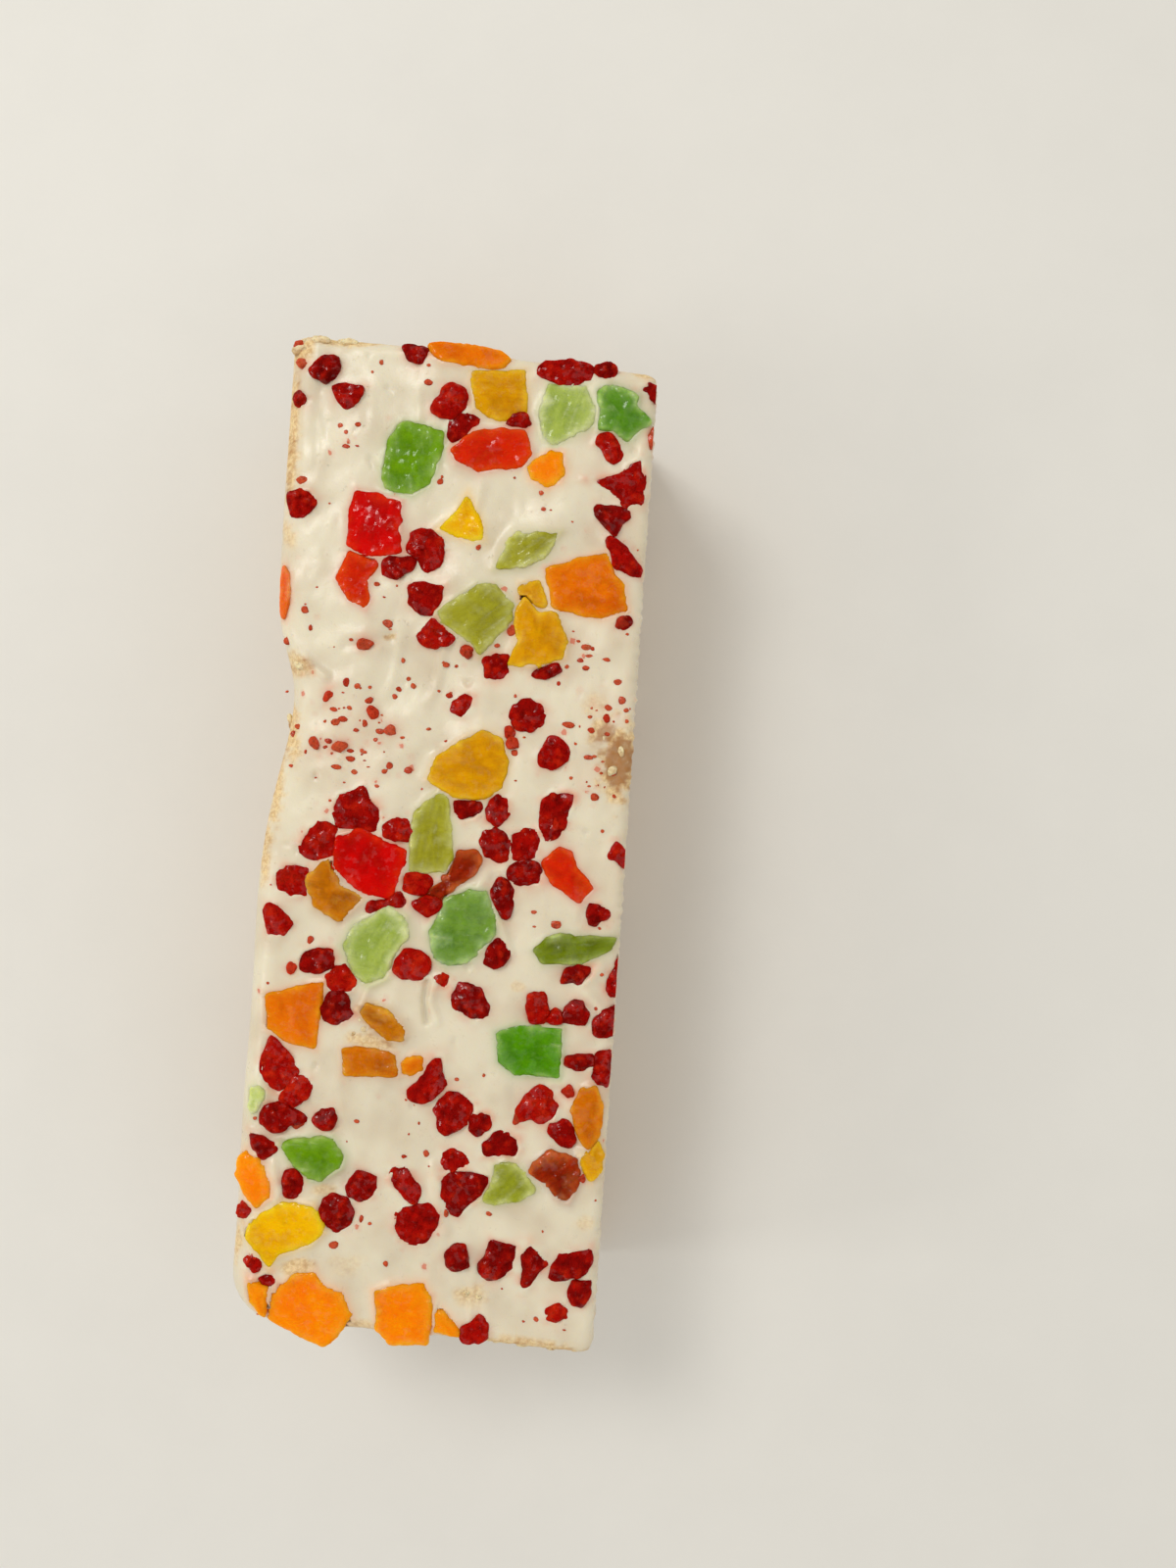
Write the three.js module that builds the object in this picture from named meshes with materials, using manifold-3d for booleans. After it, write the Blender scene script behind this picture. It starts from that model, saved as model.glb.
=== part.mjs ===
// A bar of sachima: puffed strands of fried egg dough pressed into a block, under a poured layer of
// marshmallow that is set with pieces of candied fruit and dark red berry crumbs. Millimetres, +Z up,
// the bar's length along Y, standing on its flat base with the middle of its footprint at the origin.

import * as THREE from "three";
import { mergeVertices } from "three/addons/utils/BufferGeometryUtils.js";
import Module from "manifold-3d";

const wasm = await Module();
wasm.setup();

// ---------------------------------------------------------------- driving dimensions, mm and degrees

const LEFT_FACE = -19.4; // the two long cut faces
const RIGHT_FACE = 18.5;
const HIGH_END = 50.75; // the far cut end, on the bar's middle line
const LOW_END = -50.1; // the near cut end
const END_SLANT = -0.045; // the blade came down a little askew: mm along Y for each mm along X
const CORNER = 1.2; // rounding of three corners, seen from above
const WORN_CORNER = 4.2; // rounding of the near left corner
const WAIST_DEPTH = 2.4; // a shallow dent in the left face
const WAIST_MIDDLE = 13.5;
const WAIST_SPREAD = { low: 10, high: 6.2 }; // towards the near end and towards the far one
const FOOTPRINT_MIDDLE = [-0.25, -0.09]; // of the bar with the fruit that overhangs its faces

const DOUGH_HEIGHT = 22.5; // the dough block ends and the marshmallow starts on this plane
const CORE_INSET = 2.2; // the strands stand out of the core by this much
const STRAND_ROWS = [3.6, 11.2, 18.8]; // heights of the strands' middles
const STRAND_PITCH = 9.8; // along a face
const STRAND_RADIUS = [2.7, 3.6];
const STRAND_REACH = [9, 16]; // length between the two rounded ends
const STRAND_DEPTH = [0.7, 1]; // of its middle line under the cut face, in its own radius
const THROUGH_SHARE = 0.36; // share of the strands that the blade cut across

const MALLOW_LEVEL = 26.7; // mean height of the marshmallow's surface
const LEFT_ROUNDING = 3; // the left edge is broad and soft, the others are sharper
const EDGE_ROUNDING = 1.3;
const DEEPEST_ROUNDING = 3.1;
const GRID_STEP = 4.8; // of the marshmallow's surface

const FRUIT_DEPTH = 3.2; // height of a whole fruit piece
const FRUIT_BEVEL = 0.5;
const BEVEL_SHARE = 0.4; // of the least distance from the middle to a side, for narrow pieces
const FRUIT_FLOOR = 23.5; // no fruit reaches lower than this
const FRUIT_PROUD = [0.3, 0.75]; // its top above the marshmallow
const STEEPEST_FRUIT = 14;
const GAP = 0.3;
const SLIVER = { dough: 0.1, marshmallow: 0.04, fruit: 0.02 }; // finer detail is dropped after a cut

const CRUMB_PROUD = [0.4, 0.75];
const CRUMB_SUNK = 0.15; // its widest level under the marshmallow's surface, in its own height
const CRUMB_ROUGHNESS = 0.14;

// Candied fruit: name and the corners of its outline, anticlockwise. A piece lies over those further
// down the list and cuts them short.
const FRUIT = [
  ["orange_1", [[-4.5, 49.9], [-3.4, 49.1], [0.2, 48.9], [2.8, 49.2], [3.4, 50.5], [2.5, 51.2],
    [-0.3, 51.6], [-3.5, 51.5], [-5.2, 51.1]]],
  ["yellow_1", [[0, 44.7], [2.6, 43.6], [5.5, 44.2], [5.4, 46.8], [5, 49.3], [-0.7, 48.6]]],
  ["lime_1", [[6.4, 45.1], [7.1, 42.3], [8.3, 41.4], [9.7, 42.4], [12.2, 43.8], [12.6, 45.7],
    [11.2, 48], [7.4, 48.1]]],
  ["green_1", [[12.8, 43.5], [14.3, 43.3], [15.9, 42.3], [18.3, 44.8], [16.8, 46.1], [16.7, 47.4],
    [13.8, 48.5], [12.3, 47.7]]],
  ["green_2", [[-7.9, 42.7], [-8.7, 41.2], [-9.2, 38.2], [-8.8, 36.3], [-7.4, 35.5], [-5.7, 35.5],
    [-3.9, 36.7], [-3.3, 38.6], [-2.8, 40.7], [-2.8, 42.5], [-5.6, 43.2], [-7.2, 43.3]]],
  ["red_1", [[-1.5, 39.2], [0.9, 38.2], [5.4, 39.1], [6.4, 40.5], [5.4, 43], [2.9, 43.1], [0, 42.6],
    [-2.3, 40.4]]],
  ["orange_2", [[5.4, 39.3], [6.2, 37.9], [7.9, 37], [9.4, 37.9], [9.8, 39.1], [9.4, 41.1], [8, 41.2]]],
  ["red_2", [[-12.2, 33.9], [-12.1, 30], [-9.4, 29], [-6.3, 29.6], [-6.6, 32], [-6.6, 35],
    [-9.2, 35.6], [-11.6, 36]]],
  ["red_3", [[-13, 26.7], [-11.4, 24.4], [-9.6, 23.5], [-9.1, 24.6], [-9.5, 25.6], [-9.4, 27],
    [-8.6, 28.2], [-8.8, 29.2], [-11.9, 29.7]]],
  ["yellow_2", [[-1.2, 34.3], [-3.1, 32.2], [0.7, 31.1], [2, 31.5], [1.7, 33.3], [-0.1, 36.5]]],
  ["lime_2", [[4.2, 31.2], [3.1, 28.5], [6.1, 28.9], [8.3, 29.9], [9.8, 32.8], [5.1, 32.4]]],
  ["orange_3", [[9.3, 25], [14.3, 24.2], [17.2, 25.2], [16.6, 28.1], [15.5, 29], [14.6, 31.4],
    [11.4, 30.3], [8.2, 29.1]]],
  ["yellow_4", [[5.4, 24.5], [5.9, 21.5], [5, 18.9], [8.3, 19], [11, 20.1], [11.1, 21.7], [9.8, 24.8],
    [7.9, 24.6], [6.4, 26.2]]],
  ["yellow_3", [[5.6, 25.5], [7.1, 25.1], [9, 25], [8, 27.8], [5.7, 27.5]]],
  ["lime_3", [[-1.8, 22.7], [1.2, 21], [2.3, 19.7], [5.4, 23.6], [5.5, 25.2], [3.4, 27.2], [1.4, 27],
    [-2.6, 23.9]]],
  ["red_4", [[-18.7, 25], [-18.5, 22.2], [-17.9, 22.2], [-17.5, 25], [-17.6, 26.6], [-18.6, 27.9]]],
  ["yellow_5", [[1.1, 11.4], [-1.7, 9], [-2.3, 6.8], [0.8, 5.1], [3.8, 5.2], [5.5, 6.4], [6, 9.1],
    [5.2, 11.7], [3.1, 12.3]]],
  ["lime_4", [[-3.1, 3.8], [-3.7, 2], [-3.6, -2.8], [0.4, -2.6], [1, -0.9], [0.7, 2.3], [0, 5.3],
    [-1, 5.8]]],
  ["red_5", [[-11.4, -2.7], [-8.1, -5.3], [-5.1, -5.7], [-3.8, -1.9], [-3.9, -0.5], [-7.1, 0.8],
    [-8.3, 1.5], [-11, 0.6]]],
  ["yellow_6", [[-14.1, -4.5], [-12.9, -7], [-10.2, -8.4], [-7.6, -5.7], [-10.3, -4.3], [-11.1, -1.7],
    [-12.4, -2.1]]],
  ["lime_5", [[-6.6, -7.1], [-8.9, -8.3], [-10, -10.7], [-9, -13.5], [-7, -14.7], [-5, -13.9],
    [-4.5, -11.7], [-3, -9.2], [-3.3, -7.2], [-5.5, -6]]],
  ["green_3", [[-1.2, -8.7], [-0.5, -11.4], [0.9, -12.1], [3.6, -11.3], [5.8, -8.5], [6, -6.8],
    [4.6, -4], [2.8, -3.8], [0.2, -5]]],
  ["red_6", [[10.8, -2.9], [14.1, -4.9], [15.7, -3.2], [13.7, -1.1], [12.9, 0.6], [11.6, 1],
    [9.7, -0.8]]],
  ["green_4", [[10.7, -11.1], [14.9, -11], [17.7, -9.3], [18.3, -7.9], [12.3, -7.8], [10.8, -8.4],
    [9.6, -9.8]]],
  ["berry_1", [[0.3, -2.1], [-0.5, -3.7], [-2.4, -5.1], [-2.9, -6.1], [-1.3, -7.4], [0.4, -5.6],
    [1.4, -4], [2.4, -3.2], [3.3, -2.6], [4, -1.3], [3.6, 0.1], [1.1, -0.1]]],
  ["orange_4", [[-16.9, -19.7], [-14.3, -21.1], [-11.6, -21.4], [-11.4, -17], [-11.3, -14.3],
    [-17.5, -16]]],
  ["yellow_7", [[-7, -18.1], [-5.8, -19.1], [-4.4, -20], [-2.9, -19.9], [-2.5, -19], [-3.2, -17.9],
    [-4.8, -16.8], [-6.9, -16.1], [-7.8, -17.1]]],
  ["orange_5", [[-8.8, -23.8], [-3.1, -23.6], [-3.4, -21.1], [-5.6, -20.8], [-7.7, -20.7],
    [-9.1, -21]]],
  ["orange_6", [[-3, -23.3], [-2, -23.5], [-0.6, -22.9], [-0.6, -21.5], [-1.8, -21.2], [-3.1, -22.1]]],
  ["green_5", [[6.8, -21.4], [8.5, -22.7], [11.1, -22.7], [13.4, -22.9], [13.4, -20.1], [13.3, -17.4],
    [8.4, -17.3], [6.3, -18.3]]],
  ["lime_6", [[-18.2, -27.6], [-17.8, -28.5], [-17.1, -27.8], [-16.4, -26.1], [-17.2, -25.3],
    [-18.2, -25.6]]],
  ["green_6", [[-13.8, -32.7], [-11.6, -34.7], [-10.3, -34.8], [-8.2, -33.3], [-7.9, -32.1],
    [-9.4, -30], [-12.9, -30.3], [-14.7, -30.9]]],
  ["orange_7", [[-19.2, -33.3], [-19.3, -34.7], [-18.2, -36.8], [-16.7, -38.1], [-15, -36.6],
    [-15.2, -34.7], [-16.9, -32.4], [-18.4, -32.2]]],
  ["yellow_8", [[-17.2, -39.4], [-17.8, -40.8], [-14.9, -43.9], [-14, -42.5], [-10.7, -41.1],
    [-9.4, -39.7], [-10.7, -36.9], [-14.4, -36.9]]],
  ["berry_2", [[10.7, -32.3], [12.7, -33.5], [14, -35], [15.1, -35.2], [15.8, -33.7], [16.1, -32.5],
    [15.7, -30.5], [12.7, -29.8], [10.9, -31.4]]],
  ["lime_7", [[6.9, -33.9], [5.9, -35.7], [7.4, -36], [10.2, -35.2], [11.8, -33.9], [10.2, -31.9],
    [8.6, -31.2], [7.1, -31.7]]],
  ["orange_8", [[14.5, -25.8], [15.5, -28.6], [16.7, -29.8], [17.7, -28.2], [17.9, -25.2], [17, -23],
    [15.4, -23.4]]],
  ["yellow_9", [[15.7, -30.2], [16.5, -31.9], [17.2, -32.9], [18.2, -31.8], [18.4, -30], [17.7, -28.5],
    [16.7, -29.7]]],
  ["orange_9", [[-14.7, -46.6], [-14.9, -49.2], [-11.8, -50.6], [-8.8, -51.8], [-7.6, -50.5],
    [-6.1, -48], [-7.3, -45.5], [-9.1, -44.9], [-10.2, -43.7], [-12.3, -43.9]]],
  ["orange_10", [[-16.7, -47.2], [-14.9, -49], [-14.6, -47.9], [-14.8, -45.7], [-17.1, -44.9]]],
  ["orange_11", [[-3.7, -49.3], [-2.2, -50.9], [1.7, -50.8], [2, -48.5], [1.9, -46], [0.9, -44.3],
    [-2.6, -44.6], [-4.3, -45.3]]],
  ["orange_12", [[2.1, -49.5], [4.9, -49.9], [4.8, -49], [3, -47.2], [2, -47.3]]],
];

// Berry crumbs: middle x and y, length, width and turn.
const CRUMBS = [
  [-15.5, 48.2, 3.1, 2.5, 24], [-13.1, 45.6, 3.0, 2.4, 4], [-17.1, 34.5, 2.9, 2.8, 4],
  [-6.6, 50.3, 2.7, 2.0, 4], [-2.6, 45.9, 3.8, 3.5, 4], [-1.4, 43.4, 3.4, 2.8, 4],
  [4.7, 44.0, 2.4, 2.0, 4], [8.0, 49.4, 3.4, 2.4, -1], [10.5, 49.2, 3.4, 2.6, -6],
  [13.1, 49.7, 2.2, 1.8, 4], [17.8, 47.8, 2.2, 1.8, -46], [14.1, 41.8, 3.4, 2.4, -56],
  [14.3, 38.4, 4.2, 2.4, -11], [16.5, 38.7, 4.6, 2.8, 89], [15.0, 35.0, 3.6, 3.4, 4],
  [16.2, 30.9, 4.8, 2.6, -56], [-4.1, 30.2, 4.0, 3.8, 4], [-6.7, 28.4, 3.5, 2.2, 9],
  [-3.6, 25.4, 3.6, 3.2, 4], [-2.7, 22.2, 4.0, 3.0, 19], [3.6, 19.2, 2.8, 2.4, 4],
  [4.9, 18.9, 2.8, 2.4, 4], [9.5, 18.9, 3.0, 1.8, 4], [0.8, 14.8, 2.5, 1.4, 54],
  [7.5, 14.1, 3.8, 3.5, 4], [10.5, 10.1, 3.4, 3.0, 54], [-10.5, 3.6, 4.0, 3.6, 4],
  [-8.5, 2.7, 3.6, 3.6, 4], [-13.1, -0.3, 3.8, 3.6, 4], [-5.0, 1.5, 3.2, 2.6, 4],
  [-15.4, -4.3, 3.6, 3.4, 4], [-16.8, -8.4, 3.8, 2.4, -56], [1.9, 4.0, 2.8, 2.4, 4],
  [5.0, 4.1, 3.4, 2.4, 84], [11.3, 4.0, 5.0, 3.2, 69], [4.8, 0.4, 3.6, 3.2, 4],
  [8.0, 1.1, 3.6, 3.2, 4], [8.3, -2.2, 3.6, 2.4, 4], [6.3, -4.8, 4.2, 2.2, 89],
  [17.6, 0.4, 2.8, 1.9, 94], [16.0, -5.7, 2.6, 2.2, -36], [-2.9, -3.9, 3.0, 2.4, 4],
  [-5.6, -6.0, 3.4, 1.8, -11], [-0.9, -5.0, 3.4, 2.8, 4], [-12.1, -12.1, 4.4, 2.6, -6],
  [-10.1, -14.0, 3.2, 2.8, 4], [-9.7, -16.7, 3.6, 3.2, 4], [-2.6, -12.4, 3.8, 3.4, 4],
  [6.0, -10.3, 3.4, 2.3, 69], [3.5, -15.7, 4.4, 3.2, -46], [14.4, -12.1, 3.2, 2.1, 4],
  [17.9, -12.4, 3.8, 1.5, 79], [10.6, -15.9, 3.2, 2.2, 92], [14.3, -16.1, 3.0, 2.7, 4],
  [17.0, -17.4, 3.4, 2.4, 54], [15.0, -20.9, 2.8, 1.5, 4], [17.0, -21.7, 3.4, 2.2, 84],
  [11.5, -25.4, 3.8, 3.8, 4], [13.9, -28.6, 3.4, 2.8, -36], [7.7, -29.9, 4.0, 2.8, -6],
  [5.3, -28.0, 2.6, 2.2, 4], [2.7, -26.5, 4.0, 3.4, -26], [0.1, -24.0, 4.6, 3.2, 64],
  [2.0, -28.5, 2.0, 1.6, 4], [3.0, -31.9, 2.8, 1.8, 4], [4.3, -35.0, 5.4, 4.2, 14],
  [-15.5, -24.2, 4.2, 3.4, -56], [-16.3, -20.7, 3.0, 1.3, -66], [-13.4, -25.8, 3.2, 2.8, 4],
  [-15.6, -28.8, 3.6, 3.1, 4], [-10.4, -28.6, 2.0, 1.9, 4], [-16.5, -31.6, 3.6, 2.2, -21],
  [-13.3, -35.4, 3.0, 2.1, -66], [-6.1, -35.2, 3.4, 3.2, 4], [-8.8, -38.5, 3.8, 3.6, 4],
  [-2.2, -34.2, 3.0, 2.8, 4], [-0.9, -35.8, 2.8, 1.8, -61], [-0.2, -38.7, 4.6, 4.2, 4],
  [3.9, -41.7, 2.8, 2.4, -56], [8.2, -41.9, 4.2, 3.6, 4], [11.6, -42.3, 5.0, 2.6, -71],
  [15.8, -41.8, 4.2, 3.0, 14], [16.5, -44.7, 2.8, 2.4, -56], [14.6, -46.8, 2.2, 1.9, 4],
  [6.4, -48.9, 2.8, 2.4, 4], [-15.5, -45.3, 2.4, 2.0, 4],
];

const FINISHES = {
  dough: { color: 0xe1c896, roughness: 0.7, metalness: 0 },
  marshmallow: { color: 0xe8e0cd, roughness: 0.45, metalness: 0 },
  orange: { color: 0xff8c00, roughness: 0.35, metalness: 0 },
  yellow: { color: 0xe1aa00, roughness: 0.35, metalness: 0 },
  green: { color: 0x5fa03c, roughness: 0.35, metalness: 0 },
  lime: { color: 0xa0be64, roughness: 0.35, metalness: 0 },
  red: { color: 0xc80a00, roughness: 0.35, metalness: 0 },
  berry: { color: 0x96321c, roughness: 0.4, metalness: 0 },
};

// ---------------------------------------------------------------- small helpers

// A repeatable draw between 0 and 1, the fractional part of a large sine.
function draw(item, key) {
  const value = Math.sin(item * 127.1 + key * 311.7) * 43758.5453;
  return value - Math.floor(value);
}

function between([low, high], share) {
  return low + (high - low) * share;
}

function solidOf(geometry) {
  const bare = geometry.clone();
  bare.deleteAttribute("normal");
  bare.deleteAttribute("uv");
  const merged = mergeVertices(bare, 1e-5);
  const vertProperties = new Float32Array(merged.attributes.position.array);
  const triVerts = new Uint32Array(merged.index.array);
  return new wasm.Manifold(new wasm.Mesh({ numProp: 3, vertProperties, triVerts }));
}

function geometryOf(solid) {
  const mesh = solid.getMesh();
  const geometry = new THREE.BufferGeometry();
  geometry.setAttribute("position", new THREE.BufferAttribute(mesh.vertProperties, 3));
  geometry.setIndex(new THREE.BufferAttribute(mesh.triVerts, 1));
  return geometry;
}

// The one body that counts, without the slivers and loose scraps that a cut can leave.
function largestBody(solid, sliver) {
  const bodies = solid.asOriginal().simplify(sliver).decompose();
  bodies.sort((first, second) => second.volume() - first.volume());
  return bodies[0];
}

function namedMesh(name, geometry, finish) {
  const mesh = new THREE.Mesh(geometry, new THREE.MeshStandardMaterial(FINISHES[finish]));
  mesh.name = name;
  return mesh;
}

// How far a quarter circle of this radius has fallen, so close to the edge it rounds.
function rounding(distance, radius) {
  const inside = THREE.MathUtils.clamp(radius - distance, 0, radius);
  return radius - Math.sqrt(radius * radius - inside * inside);
}

// ---------------------------------------------------------------- the bar's outline

function waist(y) {
  const spread = y > WAIST_MIDDLE ? WAIST_SPREAD.high : WAIST_SPREAD.low;
  return WAIST_DEPTH * Math.exp(-(((y - WAIST_MIDDLE) / spread) ** 2));
}

function slanted(x, y) {
  return new THREE.Vector2(x, y + END_SLANT * x);
}

function barShape(inset) {
  const left = LEFT_FACE + inset;
  const right = RIGHT_FACE - inset;
  const low = LOW_END + inset;
  const high = HIGH_END - inset;
  const outline = new THREE.Path();
  outline.moveTo(left + WORN_CORNER, low);
  outline.lineTo(right - CORNER, low);
  outline.absarc(right - CORNER, low + CORNER, CORNER, -Math.PI / 2, 0);
  outline.absarc(right - CORNER, high - CORNER, CORNER, 0, Math.PI / 2);
  outline.absarc(left + CORNER, high - CORNER, CORNER, Math.PI / 2, Math.PI);
  for (let step = 3; step >= -3; step -= 1) {
    const spread = step > 0 ? WAIST_SPREAD.high : WAIST_SPREAD.low;
    outline.lineTo(left, WAIST_MIDDLE + (step * spread) / 1.6);
  }
  outline.absarc(left + WORN_CORNER, low + WORN_CORNER, WORN_CORNER, Math.PI, Math.PI * 1.5);
  const points = outline.getPoints(3);
  const onLeft = (point) => Math.abs(point.x - left) < 1e-6;
  return new THREE.Shape(points.map((p) => slanted(p.x + (onLeft(p) ? waist(p.y) : 0), p.y)));
}

function barBlock(inset) {
  const settings = { depth: DOUGH_HEIGHT, bevelEnabled: false };
  return solidOf(new THREE.ExtrudeGeometry(barShape(inset), settings));
}

// ---------------------------------------------------------------- the block of puffed dough strands

function cutFaces() {
  const corners = [
    slanted(LEFT_FACE, LOW_END),
    slanted(RIGHT_FACE, LOW_END),
    slanted(RIGHT_FACE, HIGH_END),
    slanted(LEFT_FACE, HIGH_END),
  ];
  return corners.map((start, index) => {
    const end = corners[(index + 1) % corners.length];
    const along = end.clone().sub(start);
    const length = along.length();
    along.normalize();
    return { start, length, along: new THREE.Vector3(along.x, along.y, 0) };
  });
}

// One strand: a capsule whose middle lies under the cut face, along the face or through it.
function strandOn(face, row, column, columns, item) {
  const up = new THREE.Vector3(0, 0, 1);
  const outward = new THREE.Vector3().crossVectors(face.along, up);
  const radius = between(STRAND_RADIUS, draw(item, 1));
  const through = draw(item, 2) < THROUGH_SHARE;
  const tilt = (draw(item, 3) - 0.5) * 1.3;
  const yaw = (draw(item, 4) - 0.5) * 0.5;
  const depth = through ? radius * 0.4 : between(STRAND_DEPTH, draw(item, 5)) * radius;
  const place = (column + 0.5 * (row % 2) + 0.25 + 0.3 * (draw(item, 6) - 0.5)) / columns;
  const middle = new THREE.Vector3(face.start.x, face.start.y, 0)
    .addScaledVector(face.along, place * face.length)
    .addScaledVector(outward, -depth)
    .addScaledVector(up, STRAND_ROWS[row] + 2.2 * (draw(item, 7) - 0.5));
  const direction = through
    ? outward.clone().addScaledVector(face.along, tilt * 0.6).addScaledVector(up, yaw)
    : face.along.clone().addScaledVector(up, Math.tan(tilt)).addScaledVector(outward, yaw * 0.5);
  const reach = through ? 2 * radius : between(STRAND_REACH, draw(item, 8));
  const endSteps = through ? 1 : 2;
  return { middle, direction: direction.normalize(), radius, reach, endSteps };
}

function strandSolid({ middle, direction, radius, reach, endSteps }) {
  const capsule = new THREE.CapsuleGeometry(radius, reach, endSteps, 6, 1);
  const turn = new THREE.Quaternion().setFromUnitVectors(new THREE.Vector3(0, 1, 0), direction);
  capsule.applyQuaternion(turn);
  capsule.translate(middle.x, middle.y, middle.z);
  return solidOf(capsule);
}

function allStrands() {
  const strands = [];
  for (const face of cutFaces()) {
    const columns = Math.round(face.length / STRAND_PITCH);
    for (let row = 0; row < STRAND_ROWS.length; row += 1) {
      for (let column = 0; column < columns; column += 1) {
        strands.push(strandOn(face, row, column, columns, strands.length + 1));
      }
    }
  }
  return strands;
}

function doughBlock() {
  const strands = wasm.Manifold.union(allStrands().map(strandSolid));
  const block = barBlock(CORE_INSET).add(strands).intersect(barBlock(0));
  return geometryOf(largestBody(block, SLIVER.dough));
}

// ---------------------------------------------------------------- the marshmallow's surface

function leftEdge(y) {
  const worn = rounding(y - LOW_END, WORN_CORNER);
  return LEFT_FACE + waist(y) + worn + rounding(HIGH_END - y, CORNER);
}

function rightEdge(y) {
  return RIGHT_FACE - rounding(y - LOW_END, CORNER) - rounding(HIGH_END - y, CORNER);
}

// The poured layer's long low waves, in the bar's own straight frame.
function waves(x, y) {
  const broad = 0.24 * Math.sin(0.21 * x + 0.9) * Math.cos(0.13 * y + 1.9);
  return broad + 0.16 * Math.sin(0.27 * y - 0.16 * x) + 0.1 * Math.sin(0.43 * x + 0.31 * y);
}

function surfaceHeight(x, y) {
  const left = rounding(x - leftEdge(y), LEFT_ROUNDING);
  const right = rounding(rightEdge(y) - x, EDGE_ROUNDING);
  const ends = rounding(Math.min(y - LOW_END, HIGH_END - y), EDGE_ROUNDING);
  const fall = Math.min(Math.hypot(left, right, ends), DEEPEST_ROUNDING);
  return MALLOW_LEVEL + waves(x, y) - fall;
}

// The same for a place in the slanted frame that the fruit and crumbs are given in.
function heightAt(x, y) {
  return surfaceHeight(x, y - END_SLANT * x);
}

// Grid lines from one edge to the other, closer where the edges are rounded.
function gridLines(low, high, lowRadius, highRadius) {
  const lines = [0, 0.12, 0.45].map((share) => low + share * lowRadius);
  const start = low + lowRadius;
  const end = high - highRadius;
  const count = Math.round((end - start) / GRID_STEP);
  for (let step = 0; step <= count; step += 1) {
    lines.push(start + ((end - start) * step) / count);
  }
  return lines.concat([0.4, 0].map((share) => high - share * highRadius));
}

function marshmallowSlab() {
  const rows = gridLines(LOW_END, HIGH_END, WORN_CORNER * 0.6, EDGE_ROUNDING);
  const width = RIGHT_FACE - LEFT_FACE;
  const shares = gridLines(0, width, LEFT_ROUNDING, EDGE_ROUNDING);
  const columns = shares.length;
  const positions = [];
  const edge = [];
  const addPoint = (x, y, z) => {
    const point = slanted(x, y);
    positions.push(point.x, point.y, z);
  };
  for (const y of rows) {
    for (const share of shares) {
      const x = THREE.MathUtils.mapLinear(share, 0, width, leftEdge(y), rightEdge(y));
      addPoint(x, y, surfaceHeight(x, y));
    }
  }
  const faces = [];
  for (let row = 0; row + 1 < rows.length; row += 1) {
    for (let column = 0; column + 1 < columns; column += 1) {
      const corner = row * columns + column;
      faces.push(corner, corner + 1, corner + columns + 1);
      faces.push(corner, corner + columns + 1, corner + columns);
    }
  }
  for (let column = 0; column + 1 < columns; column += 1) edge.push(column);
  for (let row = 0; row + 1 < rows.length; row += 1) edge.push(row * columns + columns - 1);
  for (let column = columns - 1; column > 0; column -= 1) edge.push((rows.length - 1) * columns + column);
  for (let row = rows.length - 1; row > 0; row -= 1) edge.push(row * columns);
  const floor = positions.length / 3;
  for (const corner of edge) {
    positions.push(positions[3 * corner], positions[3 * corner + 1], DOUGH_HEIGHT);
  }
  edge.forEach((corner, index) => {
    const next = (index + 1) % edge.length;
    faces.push(corner, floor + index, floor + next);
    faces.push(corner, floor + next, edge[next]);
  });
  const contour = edge.map((corner) => new THREE.Vector2(positions[3 * corner], positions[3 * corner + 1]));
  for (const [first, second, third] of THREE.ShapeUtils.triangulateShape(contour, [])) {
    faces.push(floor + first, floor + third, floor + second);
  }
  const geometry = new THREE.BufferGeometry();
  geometry.setAttribute("position", new THREE.Float32BufferAttribute(positions, 3));
  geometry.setIndex(faces);
  return solidOf(geometry);
}

// ---------------------------------------------------------------- berry crumbs

function crumbSolid([x, y, length, width, turn], item) {
  const lump = new THREE.IcosahedronGeometry(0.54, 0);
  lump.deleteAttribute("normal");
  lump.deleteAttribute("uv");
  const merged = mergeVertices(lump);
  const position = merged.attributes.position;
  const corner = new THREE.Vector3();
  for (let index = 0; index < position.count; index += 1) {
    const swell = 1 + CRUMB_ROUGHNESS * (2 * draw(item, index + 20) - 1);
    corner.fromBufferAttribute(position, index).multiplyScalar(swell);
    position.setXYZ(index, corner.x, corner.y, corner.z);
  }
  const height = between(CRUMB_PROUD, draw(item, 40)) / (0.5 - CRUMB_SUNK);
  merged.scale(length, width, height);
  merged.rotateZ(THREE.MathUtils.degToRad(turn));
  merged.translate(x, y, heightAt(x, y) - CRUMB_SUNK * height);
  return solidOf(merged);
}

// ---------------------------------------------------------------- candied fruit

// The middle of an outline's area: its corners weighed by the triangles that its sides make.
function middleOf(corners) {
  const middle = new THREE.Vector2();
  let area = 0;
  corners.forEach(([x, y], index) => {
    const [nextX, nextY] = corners[(index + 1) % corners.length];
    const share = x * nextY - nextX * y;
    area += share;
    middle.add(new THREE.Vector2(x + nextX, y + nextY).multiplyScalar(share));
  });
  return middle.divideScalar(3 * area);
}

// The outward direction of each side of an outline that runs anticlockwise.
function sideNormals(points) {
  return points.map((point, index) => {
    const next = points[(index + 1) % points.length];
    return new THREE.Vector2(next.y - point.y, point.x - next.x).normalize();
  });
}

// The outline round its own middle, with every side moved outwards.
function fruitShape(points, grown) {
  const normals = sideNormals(points);
  return new THREE.Shape(points.map((point, index) => {
    const before = normals.at(index - 1);
    const after = normals[index];
    const mitre = grown / Math.max(1 + before.dot(after), 0.5);
    return before.clone().add(after).multiplyScalar(mitre).add(point);
  }));
}

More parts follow.
